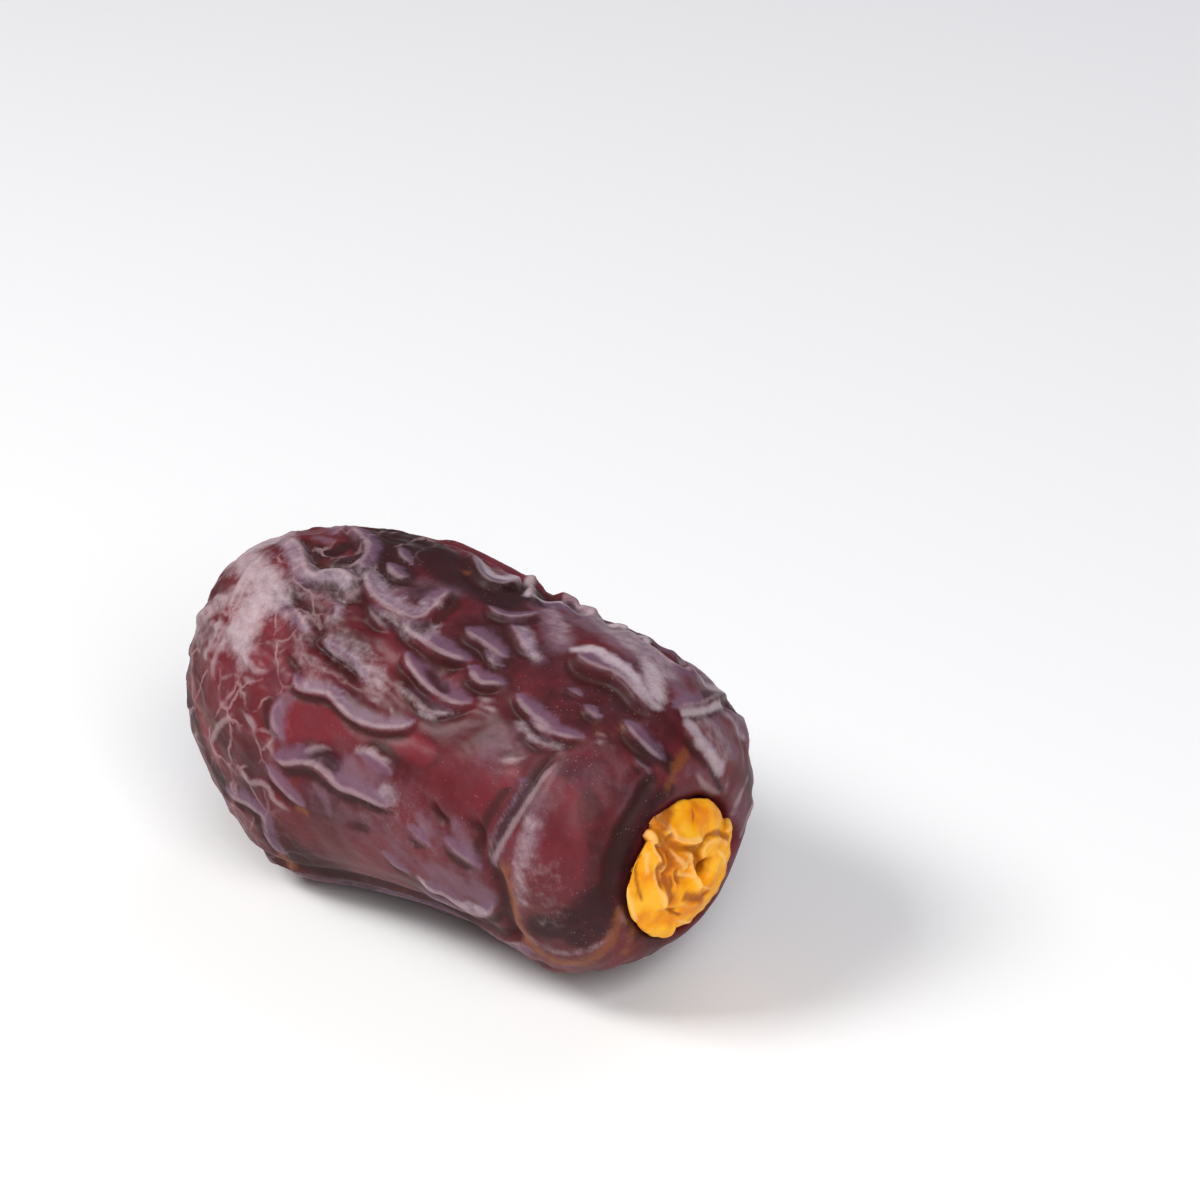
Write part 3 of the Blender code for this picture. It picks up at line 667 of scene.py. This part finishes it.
def banded(points, surface, kind):
    # how much each point belongs to the bands of one colour; a band is flat over half its width
    # and fades out over one width more
    share = np.zeros(len(points))
    soft = dateSkin["bandSoftness"]
    for most, width, route in dateSkin[kind + "Bands"]:
        line = seenPoints(surface, route, lineCounts["band"])
        reach = 1.5 * width * mm + soft
        low, high = line.min(axis=0) - reach, line.max(axis=0) + reach
        close = np.flatnonzero(np.all((points > low) & (points < high), axis=1))
        gap = np.linalg.norm(points[close, None] - line[None], axis=2).min(axis=1)
        inside = eased((reach - gap) / (width * mm + 2 * soft))
        share[close] = np.maximum(share[close], most * inside)
    return share


def patches(points, places):
    # how much each point belongs to a list of places: station, angle, reach in mm, share
    share = np.zeros(len(points))
    for station, angle, reach, most in places:
        gap = np.linalg.norm(points - skinPoints([station], angle), axis=1)
        share = np.maximum(share, most * bell(gap / (reach * mm)))
    return share


def edgesOf(mesh):
    ends = np.empty(len(mesh.edges) * 2, np.int32)
    mesh.edges.foreach_get("vertices", ends)
    return ends.reshape(-1, 2).T


def evened(values, ends, rounds):
    # each value moves halfway to the mean of its neighbours
    a, b = ends
    count = len(values)
    neighbours = np.bincount(a, minlength=count) + np.bincount(b, minlength=count)
    for _ in range(rounds):
        around = np.bincount(a, values[b], count) + np.bincount(b, values[a], count)
        values = (values + around / neighbours) / 2
    return values


def swellRelief(points):
    relief = np.zeros(len(points))
    for place, angle, height, reach in dateSkin["swellings"]:
        gap = np.linalg.norm(points - skinPoints([place], angle), axis=1)
        relief += height * mm * bell(gap / (reach * mm))
    return relief


def growWrinkles(mesh, points, station, angle, drawn):
    # Skin that is too large for its flesh buckles at one spacing. Each step lets waves of that
    # spacing grow and fades all others, and the drawn folds steer them.
    rule = dateSkin["wrinkles"]
    a, b = edgesOf(mesh)
    little = 0.01
    ahead = skinPoints(np.clip(station + little, 0, 1), angle)
    ahead -= skinPoints(np.clip(station - little, 0, 1), angle)
    ahead /= np.linalg.norm(ahead, axis=1)[:, None]
    edge = points[b] - points[a]
    along = np.sum(edge * (ahead[a] + ahead[b]) / 2, axis=1)
    across = np.sum(edge * edge, axis=1) - along ** 2
    # in spacings, with the fruit's length counted short so that the folds run along it
    pull = rule["spacing"] ** 2 / (np.maximum(across, 0) + (along / rule["stretch"]) ** 2)
    pull = np.minimum(pull, np.percentile(pull, rule["stiffest"]))
    count = len(points)
    total = np.bincount(a, pull, count) + np.bincount(b, pull, count)

    def spread(u):
        flow = pull * (u[b] - u[a])
        return np.bincount(a, flow, count) - np.bincount(b, flow, count)

    wave = (2 * math.pi) ** 2
    growth = rule["drive"] * wave ** 2
    # a pace of 2 would be the greatest that stays stable
    step = rule["pace"] / (2 * total.max() - wave) ** 2
    draw = np.random.default_rng(rule["seed"])
    u = draw.normal(0, rule["start"], count) + drawn
    for _ in range(rule["steps"]):
        v = wave * u + spread(u)
        w = wave * v + spread(v)
        u += step * (growth * (u + rule["steering"] * drawn) - w - growth * u ** 3)
    print("wrinkles grown, from", u.min().round(2), "to", u.max().round(2))
    return u


def keptInBox(piece, points):
    low, high = np.array(cadBox)
    over = np.maximum(low - points.min(axis=0), points.max(axis=0) - high) / mm
    print(piece, "past the CAD box by mm:", over.round(2))
    return np.clip(points, low + boxMargin, high - boxMargin)


def skinGrid(far):
    # a ball of squares with the wrinkles grown on it, and then made twice as fine
    rule = dateSkin["wrinkles"]
    coarse = ballMesh("coarseSkin", dateSkin["cells"])
    station, angle = ballPlaces(coarse)
    unit = readPoints(coarse)
    points = skinPoints(station, angle)
    points += swellRelief(points)[:, None] * normalsOf(coarse, points)
    surface = surfaceOf(coarse, points)
    drawn = foldRelief(dateSkin, points, surface, skinCore, far, rule["broader"])[0]
    print("folds drawn")
    drawn = np.clip(drawn / rule["foldUnit"], -rule["foldMost"], rule["foldMost"])
    grown = growWrinkles(coarse, points, station, angle, drawn)
    setPoints(coarse, unit)
    addAttribute(coarse, "wrinkle", grown)

    bm = bmesh.new()
    bm.from_mesh(coarse)
    bmesh.ops.subdivide_edges(bm, edges=bm.edges, cuts=1, use_grid_fill=True)
    mesh = bpy.data.meshes.new("dateSkin")
    bm.to_mesh(mesh)
    bm.free()
    bpy.data.meshes.remove(coarse)
    wrinkle = np.empty(len(mesh.vertices), np.float32)
    mesh.attributes["wrinkle"].data.foreach_get("value", wrinkle)
    return mesh, surface, wrinkle.astype(float)


def makeSkin():
    far = hiddenFolds()
    mesh, surface, wrinkle = skinGrid(far)
    ends = edgesOf(mesh)
    station, angle = ballPlaces(mesh)
    plain = skinPoints(station, angle)
    first, full = dateSkin["seatSpan"]
    seat = 1 - eased((station - first) / (full - first))
    broad = plain + (swellRelief(plain) * seat)[:, None] * normalsOf(mesh, plain)
    spot = dateSkin["spot"]
    flat = eased(np.hypot(plain[:, 0], plain[:, 1]) / spot["reach"] - spot["inner"])
    flat = np.where(plain[:, 2] < dateSkin["axisHeight"], flat, 1) * seat
    calm = patches(plain, dateSkin["calm"])
    crumpled = patches(plain, dateSkin["crumpled"])
    print("plain skin done")

    plates = dateSkin["plates"]
    level = np.clip(wrinkle * plates["scale"] + 0.5, 0, 1)
    tip = 1 - eased((station - plates["tipFrom"]) / plates["tipFade"])
    buckled = tip * (level ** plates["tipPower"] - plates["tipLevel"])
    buckled += (1 - tip) * (plates["level"] - (1 - level) ** plates["power"])
    drawn, lean, edge, crest, valleyShade = foldRelief(dateSkin, broad, surface, skinCore, far)
    normals = normalsOf(mesh, broad)
    toCamera = np.array(camera.location) - plain
    toCamera /= np.linalg.norm(toCamera, axis=1)[:, None]
    facing = np.sum(normals * toCamera, axis=1)
    seen = eased(facing / dateSkin["seenSpan"])
    rule = dateSkin["wrinkles"]
    rough = (1 - calm) * (1 - rule["lessWhereDrawn"] * seen)
    relief = drawn + rule["height"] * (1 - plates["tipLess"] * tip) * rough * buckled
    down = skinPoints(station, angle + 1) - skinPoints(station, angle - 1)
    down /= np.maximum(np.linalg.norm(down, axis=1), 1e-9)[:, None]
    lap = rule["lap"] * rough * (level - 0.5) * np.cos(np.radians(angle - rule["lapAngle"]))
    lean += lap[:, None] * down

    squashed = plain * np.array(dateSkin["noiseStretch"])
    lines = dateSkin["tipLines"]
    net = bell(bumps(squashed, lines["size"], lines["offsets"][0]) / lines["sharpness"])
    finer = bumps(squashed, lines["size"] * lines["second"], lines["offsets"][1])
    net = np.maximum(net, bell(finer / lines["sharpness"]))
    veined = (1 - calm) * (1 - eased((station - lines["until"]) / lines["fade"]))
    relief += lines["height"] * net * veined
    crumple = dateSkin["crumple"]
    fine = bumps(squashed, crumple["size"])
    fine += 0.5 * bumps(squashed, crumple["size"] / 2, crumple["offset"])
    much = crumple["everywhere"] + crumple["rough"] * rough + crumpled
    relief += crumple["height"] * much * (0.5 - np.abs(fine)) * 2

    relief *= flat
    points = broad + relief[:, None] * normals + lean * flat[:, None]
    points = np.column_stack([evened(points[:, k], ends, 1) for k in range(3)])
    past = np.hypot(points[:, 0] / spot["length"], points[:, 1] / spot["width"]) - 1
    points[:, 2] = np.maximum(points[:, 2], spot["lift"] * eased(past / spot["liftFade"]))
    setPoints(mesh, keptInBox("skin", points))
    mesh.shade_smooth()

    tint = dateSkin["tint"]
    wide = relief - evened(relief, ends, tint["rounds"])
    # hollows of the relief take painted shade as well
    valleyShade = np.maximum(valleyShade, tint["share"] * np.clip(-wide / tint["valleyShade"], 0, 1))
    raised = np.clip(0.5 + wide / tint["span"], 0, 1)
    for name, values in (("edge", edge), ("veined", veined), ("crest", crest),
                         ("valleyShade", valleyShade), ("raised", raised)):
        addAttribute(mesh, name, values)
    # the bands end where the skin turns away from the camera
    shown = eased(facing / dateSkin["bandSpan"] + 1)
    for kind in ("dustAndHighlight", "bloomAndSheen", "paintedShade", "red"):
        addAttribute(mesh, kind, shown * banded(broad, surface, kind))
    amber = np.maximum(patches(plain, dateSkin["amber"]), shown * banded(broad, surface, "amber"))
    addAttribute(mesh, "amber", amber)
    return addObject("dateSkin", mesh)


# Cap: the dry calyx, with petals that lap over each other round the stalk's scar
dateCap = {
    "cells": 60,
    "coreStation": 20 * mm,
    # half of its outline in mm, as on the skin, from its face to its foot
    "outline": [
        (25.6, 0.0), (25.9, 0.9), (26.4, 1.8), (26.6, 2.6), (26.5, 3.4), (26.2, 4.2),
        (25.9, 5.0), (25.5, 5.6), (25.1, 5.95), (24.6, 5.9), (24.0, 5.7), (23.3, 5.6),
        (22.6, 5.1), (22.1, 3.2), (22.0, 0.0),
    ],
    # its front sits off the hollow's middle: how far, and from where to where in mm along
    "frontShift": (0.0, -1.2 * mm, 1.0 * mm),
    "shiftSpan": (23.2, 24.4),
    # where its edge spreads over the hollow's rim: angle, reach in degrees, mm out, mm ahead
    "spreads": [(78, 42, 1.5, 0.25), (222, 35, 0.6, 0.15)],
    "edgeStation": 0.43,
    "edgeReach": (0.07, 0.025),   # in stations, before its edge and after it
    # petals, which lap over each other: a step at the end of each
    "petals": {"count": 3, "turn": 45, "step": 0.5 * mm, "from": 0.32, "fade": 0.08,
               "lobe": 0.02, "lobeFade": 0.5},
    "front": {"until": 0.60, "fade": 0.12},     # only its front carries relief
    "crumple": {"size": 1.3 * mm, "second": 2.2, "offset": 4.0, "height": 0.18 * mm,
                "smoothed": 0.9},
    "lap": 0.3,
    "clearance": 0.25 * mm,
    "clearRounds": 3,
    # how the relief tints it, as on the skin, with thin crests picked out
    "tint": {"rounds": 60, "valleyShade": 0.3 * mm, "thinRounds": 8, "crest": 0.06 * mm, "from": 0.4},
    # smooth places: where they are in the picture, and their reach in mm
    "smooth": [((638, 870), 1.6), ((642, 900), 1.8), ((684, 812), 1.8), ((648, 840), 1.0)],
    # orange to brown places, given the same way
    "burnt": [((676, 862), 1.1), ((672, 900), 0.9), ((700, 898), 1.0), ((662, 880), 0.7),
              ((694, 806), 0.7)],
    "folds": [
        (0.75, 0.8, -1, [(648, 832), (650, 840), (655, 852), (661, 863), (655, 871), (655, 884),
            (661, 897), (662, 912)]),
        (1.1, 0.9, -1, [(682, 846), (685, 858), (688, 873), (693, 884), (700, 893)]),
        (0.4, 0.6, 1, [(727, 846), (717, 840), (707, 844), (702, 853), (705, 862)]),
        (0.8, 0.8, 1, [(655, 822), (664, 824), (670, 831), (680, 838), (694, 838), (704, 834)]),
        (0.3, 0.6, -1, [(676, 903), (690, 905), (702, 901), (713, 890)]),
    ],
    "creases": [
        (0.45, 0.22, [(651, 838), (656, 850), (661, 862), (655, 868), (655, 880), (661, 893)]),
        (0.3, 0.2, [(661, 862), (668, 856), (676, 848)]),
        (0.3, 0.2, [(668, 872), (673, 884), (671, 898)]),
        (0.3, 0.2, [(690, 804), (694, 815), (691, 828)]),
        (0.3, 0.2, [(703, 846), (708, 839), (714, 834)]),
        (0.25, 0.2, [(678, 862), (675, 874), (681, 886)]),
        (0.25, 0.2, [(664, 906), (674, 914), (684, 916)]),
        (0.2, 0.15, [(640, 850), (637, 868), (639, 888), (644, 905)]),
    ],
    "threads": [
        (0.15, [(658, 828), (664, 826), (669, 832), (664, 838)]),
        (0.15, [(716, 848), (722, 858), (724, 868)]), (0.12, [(668, 846), (676, 858), (682, 870)]),
        (0.1, [(640, 838), (630, 852), (627, 870), (627, 888), (631, 906), (637, 924)]),
        (0.12, [(646, 846), (646, 862), (645, 880)]),
    ],
    "fading": 1.0 * mm,           # as on the skin
    "threadWidth": 0.2 * mm,
    "edgeWidth": 0.18 * mm,
    # pits: place in the picture, depth and reach in mm
    "pits": [((706, 872), 1.8, 0.7), ((708, 866), 0.7, 0.6), ((670, 833), 0.5, 0.35),
             ((673, 911), 0.3, 0.4)],
}


def capCore(points):
    # one place behind the cap, whatever the points
    middle = (dateCap["coreStation"], 0, dateSkin["axisHeight"])
    return np.array(middle) + np.array(dateSkin["hollowShift"])


def keptClear(points, other, clearance, rounds):
    # points pushed off another piece's surface wherever they come too near
    surface = surfaceOf(other, readPoints(other))
    clear = [Vector(point) for point in points]
    for _ in range(rounds):
        for point in clear:
            place, normal, _, _ = surface.find_nearest(point)
            short = clearance - (point - place).dot(normal)
            if short > 0:
                point += normal * short
    return np.array(clear)


def makeCap(skinMesh):
    mesh = ballMesh("dateCap", dateCap["cells"])
    station, angle = ballPlaces(mesh)
    station = 1 - station
    line = smoothLine(dateCap["outline"], lineCounts["outline"], mirrored=True) * mm
    petals = dateCap["petals"]
    around = np.radians(angle - petals["turn"]) * petals["count"]
    lobes = 1 + petals["lobe"] * np.cos(around) * eased(station / petals["lobeFade"])
    points = turned(line, station, angle, lobes, lobes)
    radius = np.hypot(points[:, 1], points[:, 2])
    past = station - dateCap["edgeStation"]
    before, after = dateCap["edgeReach"]
    for middle, reach, out, ahead in dateCap["spreads"]:
        share = bell(angleBetween(angle, middle) / reach)
        share *= bell(past / np.where(past > 0, after, before))
        points[:, 1:] *= (1 + out * mm * share / np.maximum(radius, 1 * mm))[:, None]
        points[:, 0] += ahead * mm * share
    points += np.array(dateSkin["hollowShift"]) + np.array([0, 0, dateSkin["axisHeight"]])
    first, full = dateCap["shiftSpan"]
    ahead = eased((points[:, 0] / mm - first) / (full - first))
    points += ahead[:, None] * np.array(dateCap["frontShift"])
    surface = surfaceOf(mesh, points)

    turn = (angle - petals["turn"]) / 360 * petals["count"] % 1
    front = 1 - eased((station - dateCap["front"]["until"]) / dateCap["front"]["fade"])
    petal = front * eased((station - petals["from"]) / petals["fade"])
    crumple = dateCap["crumple"]
    fine = bumps(points, crumple["size"])
    fine += 0.5 * bumps(points, crumple["size"] / crumple["second"], crumple["offset"])
    for pixel, reach in dateCap["smooth"]:
        fine *= 1 - crumple["smoothed"] * nearSeen(points, surface, pixel, reach)
    drawn, lean, edge, crest, valleyShade = foldRelief(dateCap, points, surface, capCore)
    for pixel, depth, reach in dateCap["pits"]:
        pit = nearSeen(points, surface, pixel, reach)
        drawn -= depth * mm * pit
        # pits take painted shade
        valleyShade = np.maximum(valleyShade, pit)
    burnt = np.zeros(len(points))
    for pixel, reach in dateCap["burnt"]:
        burnt = np.maximum(burnt, nearSeen(points, surface, pixel, reach))
    relief = petals["step"] * petal * (turn - 0.5) + crumple["height"] * front * fine + drawn
    normals = normalsOf(mesh, points)
    points += (relief * front)[:, None] * normals + lean * front[:, None]
    points = keptClear(points, skinMesh, dateCap["clearance"], dateCap["clearRounds"])
    setPoints(mesh, keptInBox("cap", points))
    mesh.shade_smooth()

    tint = dateCap["tint"]
    ends = edgesOf(mesh)
    thin = (relief - evened(relief, ends, tint["thinRounds"])) / tint["crest"]
    wide = (relief - evened(relief, ends, tint["rounds"])) / tint["valleyShade"]
    edge = np.maximum(edge, np.clip(thin - tint["from"], 0, 1))
    # hollows of the cap's relief take painted shade
    valleyShade = np.maximum(valleyShade, np.clip(-wide, 0, 1))
    for name, values in (("crest", edge), ("valleyShade", valleyShade), ("burnt", burnt)):
        addAttribute(mesh, name, values)
    return addObject("dateCap", mesh)


# Materials
def linear(hexColour):
    # sRGB hex to the linear values that the shaders take
    parts = [int(hexColour[i:i + 2], 16) / 255 for i in (1, 3, 5)]
    return [c / 12.92 if c <= 0.04045 else ((c + 0.055) / 1.055) ** 2.4 for c in parts] + [1]


def addNode(tree, kind, inputs=(), stops=None, **settings):
    node = tree.nodes.new(kind)
    for name, value in settings.items():
        setattr(node, name, value)
    for key, value in dict(inputs).items():
        if isinstance(value, bpy.types.NodeSocket):
            tree.links.new(value, node.inputs[key])
        else:
            node.inputs[key].default_value = value
    if stops:
        ramp = node.color_ramp.elements
        while len(ramp) < len(stops):
            ramp.new(0.5)
        for element, (place, colour) in zip(ramp, stops):
            element.position = place
            element.color = linear(colour)
    return node


def startMaterial(name):
    material = bpy.data.materials.new(name)
    material.use_nodes = True
    tree = material.node_tree
    tree.nodes.clear()
    return material, tree


# A layer's cloud of noise, and the range over which attribute and cloud together let it show
layerCloud = {"detail": 8, "roughness": 0.68, "from": 0.6, "span": 0.85}


def addLayer(tree, place, under, layer):
    # a colour over the one below it, where an attribute and a cloud of noise let it show
    where, size, edge, share, colour = layer
    field = addNode(tree, "ShaderNodeAttribute", attribute_name=where)
    cloud = addNode(tree, "ShaderNodeTexNoise", {
        "Vector": place, "Scale": 1 / (size * mm), "Detail": layerCloud["detail"],
        "Roughness": layerCloud["roughness"]})
    shown = addNode(tree, "ShaderNodeMath", {
        0: field.outputs["Fac"], 1: edge, 2: cloud.outputs["Fac"]}, operation="MULTIPLY_ADD")
    cover = addNode(tree, "ShaderNodeMapRange", {
        "Value": shown.outputs["Value"], "From Min": layerCloud["from"],
        "From Max": layerCloud["from"] + layerCloud["span"] * edge, "To Max": share},
        interpolation_type="SMOOTHSTEP")
    mix = addNode(tree, "ShaderNodeMix", {
        "Factor": cover.outputs["Result"], "A": under, "B": linear(colour)}, data_type="RGBA")
    return mix.outputs["Result"], cover.outputs["Result"]


def layColours(tree, place, look):
    # the base colours and the layers over them, and how far each layer covers
    cloud = addNode(tree, "ShaderNodeTexNoise", {
        "Vector": place, "Scale": 1 / (look["baseSize"] * mm), "Detail": look["baseDetail"]})
    colour = addNode(tree, "ShaderNodeValToRGB", {"Fac": cloud.outputs["Fac"]},
                     stops=look["base"]).outputs["Color"]
    covers = {}
    for layer in look["layers"]:
        colour, covers[layer[0]] = addLayer(tree, place, colour, layer)
    return colour, covers


def addSurface(tree, place, look, colour, roughness):
    # the shader with its fine grain
    grain = addNode(tree, "ShaderNodeTexNoise", {
        "Vector": place, "Scale": 1 / (look["grainSize"] * mm), "Detail": 6})
    bump = addNode(tree, "ShaderNodeBump", {
        "Height": grain.outputs["Fac"], "Strength": look["grainStrength"],
        "Distance": look["grainHeight"] * mm})
    shader = addNode(tree, "ShaderNodeBsdfPrincipled", {
        "Base Color": colour, "Roughness": roughness, "Normal": bump.outputs["Normal"],
        **look["shader"]})
    addNode(tree, "ShaderNodeOutputMaterial", {"Surface": shader.outputs["BSDF"]})


# Sizes are in mm. Layers from the skin up: attribute, size of their cloud, how much the
# attribute counts against the cloud, greatest share, colour.
driedSkin = {
    "base": [(0.32, "#3e0c12"), (0.45, "#56141b"), (0.6, "#671d25"), (0.75, "#5a1a2b")],
    "baseSize": 6.0,
    "baseDetail": 5,
    "layers": [
        ("red", 2.5, 0.6, 0.75, "#76202a"),
        ("raised", 2.0, 0.5, 0.3, "#5e3640"),
        # thin bloom with a painted sheen
        ("bloomAndSheen", 1.6, 0.7, 0.85, "#73525f"),
        # painted shade, nearly black
        ("paintedShade", 2.4, 0.8, 0.9, "#24090d"),
        # mauve bloom with a painted sheen on the fold faces
        ("crest", 0.9, 0.75, 0.65, "#72546a"),
        # painted shade in grooves, creases and hollows
        ("valleyShade", 1.5, 0.8, 0.8, "#300c0b"),
        # painted highlight on thin ridges and fold edges
        ("edge", 1.0, 0.9, 0.5, "#a88e92"),
        # pale dust, with painted highlights and reflections on the shiny panels
        ("dustAndHighlight", 0.9, 1.0, 0.8, "#bbaab0"),
        ("amber", 1.0, 0.5, 0.75, "#84481c"),
    ],
    # a net of pale veins, wavering and broken, where the attribute "veined" says
    "veins": {"size": 3.4, "waver": 2.5, "width": 0.07, "share": 0.55, "gaps": (0.42, 0.6),
              "colour": "#a8868a"},
    # pale specks, in patches, and more of them where there is dust
    "specks": {"size": 0.45, "patchSize": 3, "patchy": 0.5, "fewer": -0.17, "dusty": 0.25,
               "share": 0.35, "colour": "#8c7678"},
    "bareRoughness": 0.46,
    "dullRoughness": 0.65,
    "dullLayers": ("dustAndHighlight", "bloomAndSheen", "paintedShade", "valleyShade"),
    "grainSize": 0.35,
    "grainHeight": 0.05,
    "grainStrength": 0.35,
    "shader": {"IOR": 1.42, "Specular IOR Level": 0.3, "Coat Weight": 0.04,
               "Coat Roughness": 0.25, "Subsurface Weight": 0.1,
               "Subsurface Radius": (1.0, 0.25, 0.15), "Subsurface Scale": 0.7 * mm},
}


def driedSkinMaterial():
    # Thin skin over dark flesh: wine red where it is clean, mauve on the ridges from bloom with a
    # painted sheen, pale dust with painted highlights, nearly black painted shade in the valleys and
    # shaded places, amber where the flesh is thin
    material, tree = startMaterial("driedDateSkin")
    place = addNode(tree, "ShaderNodeTexCoord").outputs["Object"]
    colour, covers = layColours(tree, place, driedSkin)

    veins = driedSkin["veins"]
    waver = addNode(tree, "ShaderNodeTexNoise", {
        "Vector": place, "Scale": 1 / (veins["waver"] * mm), "Detail": 3})
    shifted = addNode(tree, "ShaderNodeVectorMath", {
        0: waver.outputs["Color"], 1: (veins["waver"] * mm,) * 3, 2: place},
        operation="MULTIPLY_ADD")
    cells = addNode(tree, "ShaderNodeTexVoronoi", {
        "Vector": shifted.outputs["Vector"], "Scale": 1 / (veins["size"] * mm)},
        feature="DISTANCE_TO_EDGE")
    vein = addNode(tree, "ShaderNodeMapRange", {
        "Value": cells.outputs["Distance"], "From Max": veins["width"],
        "To Min": veins["share"], "To Max": 0.0}, interpolation_type="SMOOTHSTEP")
    broken = addNode(tree, "ShaderNodeMapRange", {
        "Value": waver.outputs["Fac"], "From Min": veins["gaps"][0],
        "From Max": veins["gaps"][1]})
    veined = addNode(tree, "ShaderNodeAttribute", attribute_name="veined")
    shown = addNode(tree, "ShaderNodeMath", {
        0: broken.outputs["Result"], 1: veined.outputs["Fac"]}, operation="MULTIPLY")
    cover = addNode(tree, "ShaderNodeMath", {
        0: vein.outputs["Result"], 1: shown.outputs["Value"]}, operation="MULTIPLY")
    colour = addNode(tree, "ShaderNodeMix", {
        "Factor": cover.outputs["Value"], "A": colour, "B": linear(veins["colour"])},
        data_type="RGBA").outputs["Result"]

    specks = driedSkin["specks"]
    dots = addNode(tree, "ShaderNodeTexVoronoi", {
        "Vector": place, "Scale": 1 / (specks["size"] * mm)})
    patchy = addNode(tree, "ShaderNodeTexNoise", {
        "Vector": place, "Scale": 1 / (specks["patchSize"] * mm)})
    sparse = addNode(tree, "ShaderNodeMath", {
        0: patchy.outputs["Fac"], 1: specks["patchy"], 2: specks["fewer"]},
        operation="MULTIPLY_ADD", use_clamp=True)
    radius = addNode(tree, "ShaderNodeMath", {
        0: covers["dustAndHighlight"], 1: specks["dusty"], 2: sparse.outputs["Value"]},
        operation="MULTIPLY_ADD")
    speck = addNode(tree, "ShaderNodeMath", {
        0: dots.outputs["Distance"], 1: radius.outputs["Value"]}, operation="LESS_THAN")
    cover = addNode(tree, "ShaderNodeMath", {
        0: speck.outputs["Value"], 1: specks["share"]}, operation="MULTIPLY")
    colour = addNode(tree, "ShaderNodeMix", {
        "Factor": cover.outputs["Value"], "A": colour, "B": linear(specks["colour"])},
        data_type="RGBA").outputs["Result"]

    first, *others = driedSkin["dullLayers"]
    dull = covers[first]
    for kind in others:
        dull = addNode(tree, "ShaderNodeMath", {0: dull, 1: covers[kind]},
                       operation="MAXIMUM").outputs["Value"]
    roughness = addNode(tree, "ShaderNodeMapRange", {
        "Value": dull, "To Min": driedSkin["bareRoughness"],
        "To Max": driedSkin["dullRoughness"]}).outputs["Result"]
    addSurface(tree, place, driedSkin, colour, roughness)
    return material


dryCalyx = {
    "base": [(0.35, "#ee8c04"), (0.5, "#fba60a"), (0.65, "#ffb92c")],
    "baseSize": 2.6,
    "baseDetail": 3,
    "layers": [
        ("burnt", 1.2, 0.7, 0.8, "#d87406"),
        ("crest", 0.8, 0.8, 0.5, "#ffcf86"),
        # brown painted shade in the cracks and pits
        ("valleyShade", 1.0, 0.9, 0.8, "#9c4c0c"),
    ],
    "roughness": 0.45,
    "grainSize": 0.3,
    "grainHeight": 0.04,
    "grainStrength": 0.35,
    "shader": {"IOR": 1.45, "Specular IOR Level": 0.2, "Subsurface Weight": 0.12,
               "Subsurface Radius": (1.0, 0.5, 0.2), "Subsurface Scale": 0.6 * mm},
}


def dryCalyxMaterial():
    # Dry waxy calyx: golden, paler at its edges, orange in places, and brown painted shade in its
    # cracks and pits
    material, tree = startMaterial("dryCalyx")
    place = addNode(tree, "ShaderNodeTexCoord").outputs["Object"]
    colour, _ = layColours(tree, place, dryCalyx)
    addSurface(tree, place, dryCalyx, colour, dryCalyx["roughness"])
    return material


skin = makeSkin()
skin.data.materials.append(driedSkinMaterial())
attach(skin, "root")
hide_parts("fruit")
print("skin done:", len(skin.data.polygons) * 2, "triangles")

cap = makeCap(skin.data)
cap.data.materials.append(dryCalyxMaterial())
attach(cap, "root")
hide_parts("cap")
print("cap done:", len(cap.data.polygons) * 2, "triangles")

# Floor and light
studio = {
    "floorSize": 3.0,
    "floorColour": "#f3f3f2",
    "floorRoughness": 0.7,
    # lamps: where each stands, its side, its power in watts and its colour
    "lamps": [
        ((-0.27, -0.28, 0.42), 0.2, 2.4, "#ffffff"),
        ((0.34, -0.20, 0.40), 0.35, 2.1, "#ffffff"),
        ((-0.05, 0.34, 0.36), 0.30, 0.4, "#e8e6ff"),
    ],
    "worldStrength": 0.15,
}


def makeStudio():
    bm = bmesh.new()
    bmesh.ops.create_grid(bm, x_segments=1, y_segments=1, size=studio["floorSize"] / 2)
    mesh = bpy.data.meshes.new("floor")
    bm.to_mesh(mesh)
    bm.free()
    # matt, nearly white board
    material, tree = startMaterial("paleFloor")
    shader = addNode(tree, "ShaderNodeBsdfPrincipled", {
        "Base Color": linear(studio["floorColour"]), "Roughness": studio["floorRoughness"]})
    addNode(tree, "ShaderNodeOutputMaterial", {"Surface": shader.outputs["BSDF"]})
    mesh.materials.append(material)
    floor = addObject("floor", mesh)

    for i, (place, side, power, colour) in enumerate(studio["lamps"]):
        light = bpy.data.lights.new(f"softbox{i + 1}", "AREA")
        light.size = side
        light.energy = power
        light.color = linear(colour)[:3]
        lamp = addObject(light.name, light)
        lamp.location = place
        lamp.rotation_euler = (view["aim"] - Vector(place)).to_track_quat("-Z", "Y").to_euler()

    world = bpy.data.worlds.new("studioWorld")
    bpy.context.scene.world = world
    world.use_nodes = True
    background = world.node_tree.nodes["Background"].inputs
    background["Color"].default_value = (1, 1, 1, 1)
    background["Strength"].default_value = studio["worldStrength"]
    bpy.context.scene.view_settings.view_transform = "Standard"


makeStudio()
print("studio done")
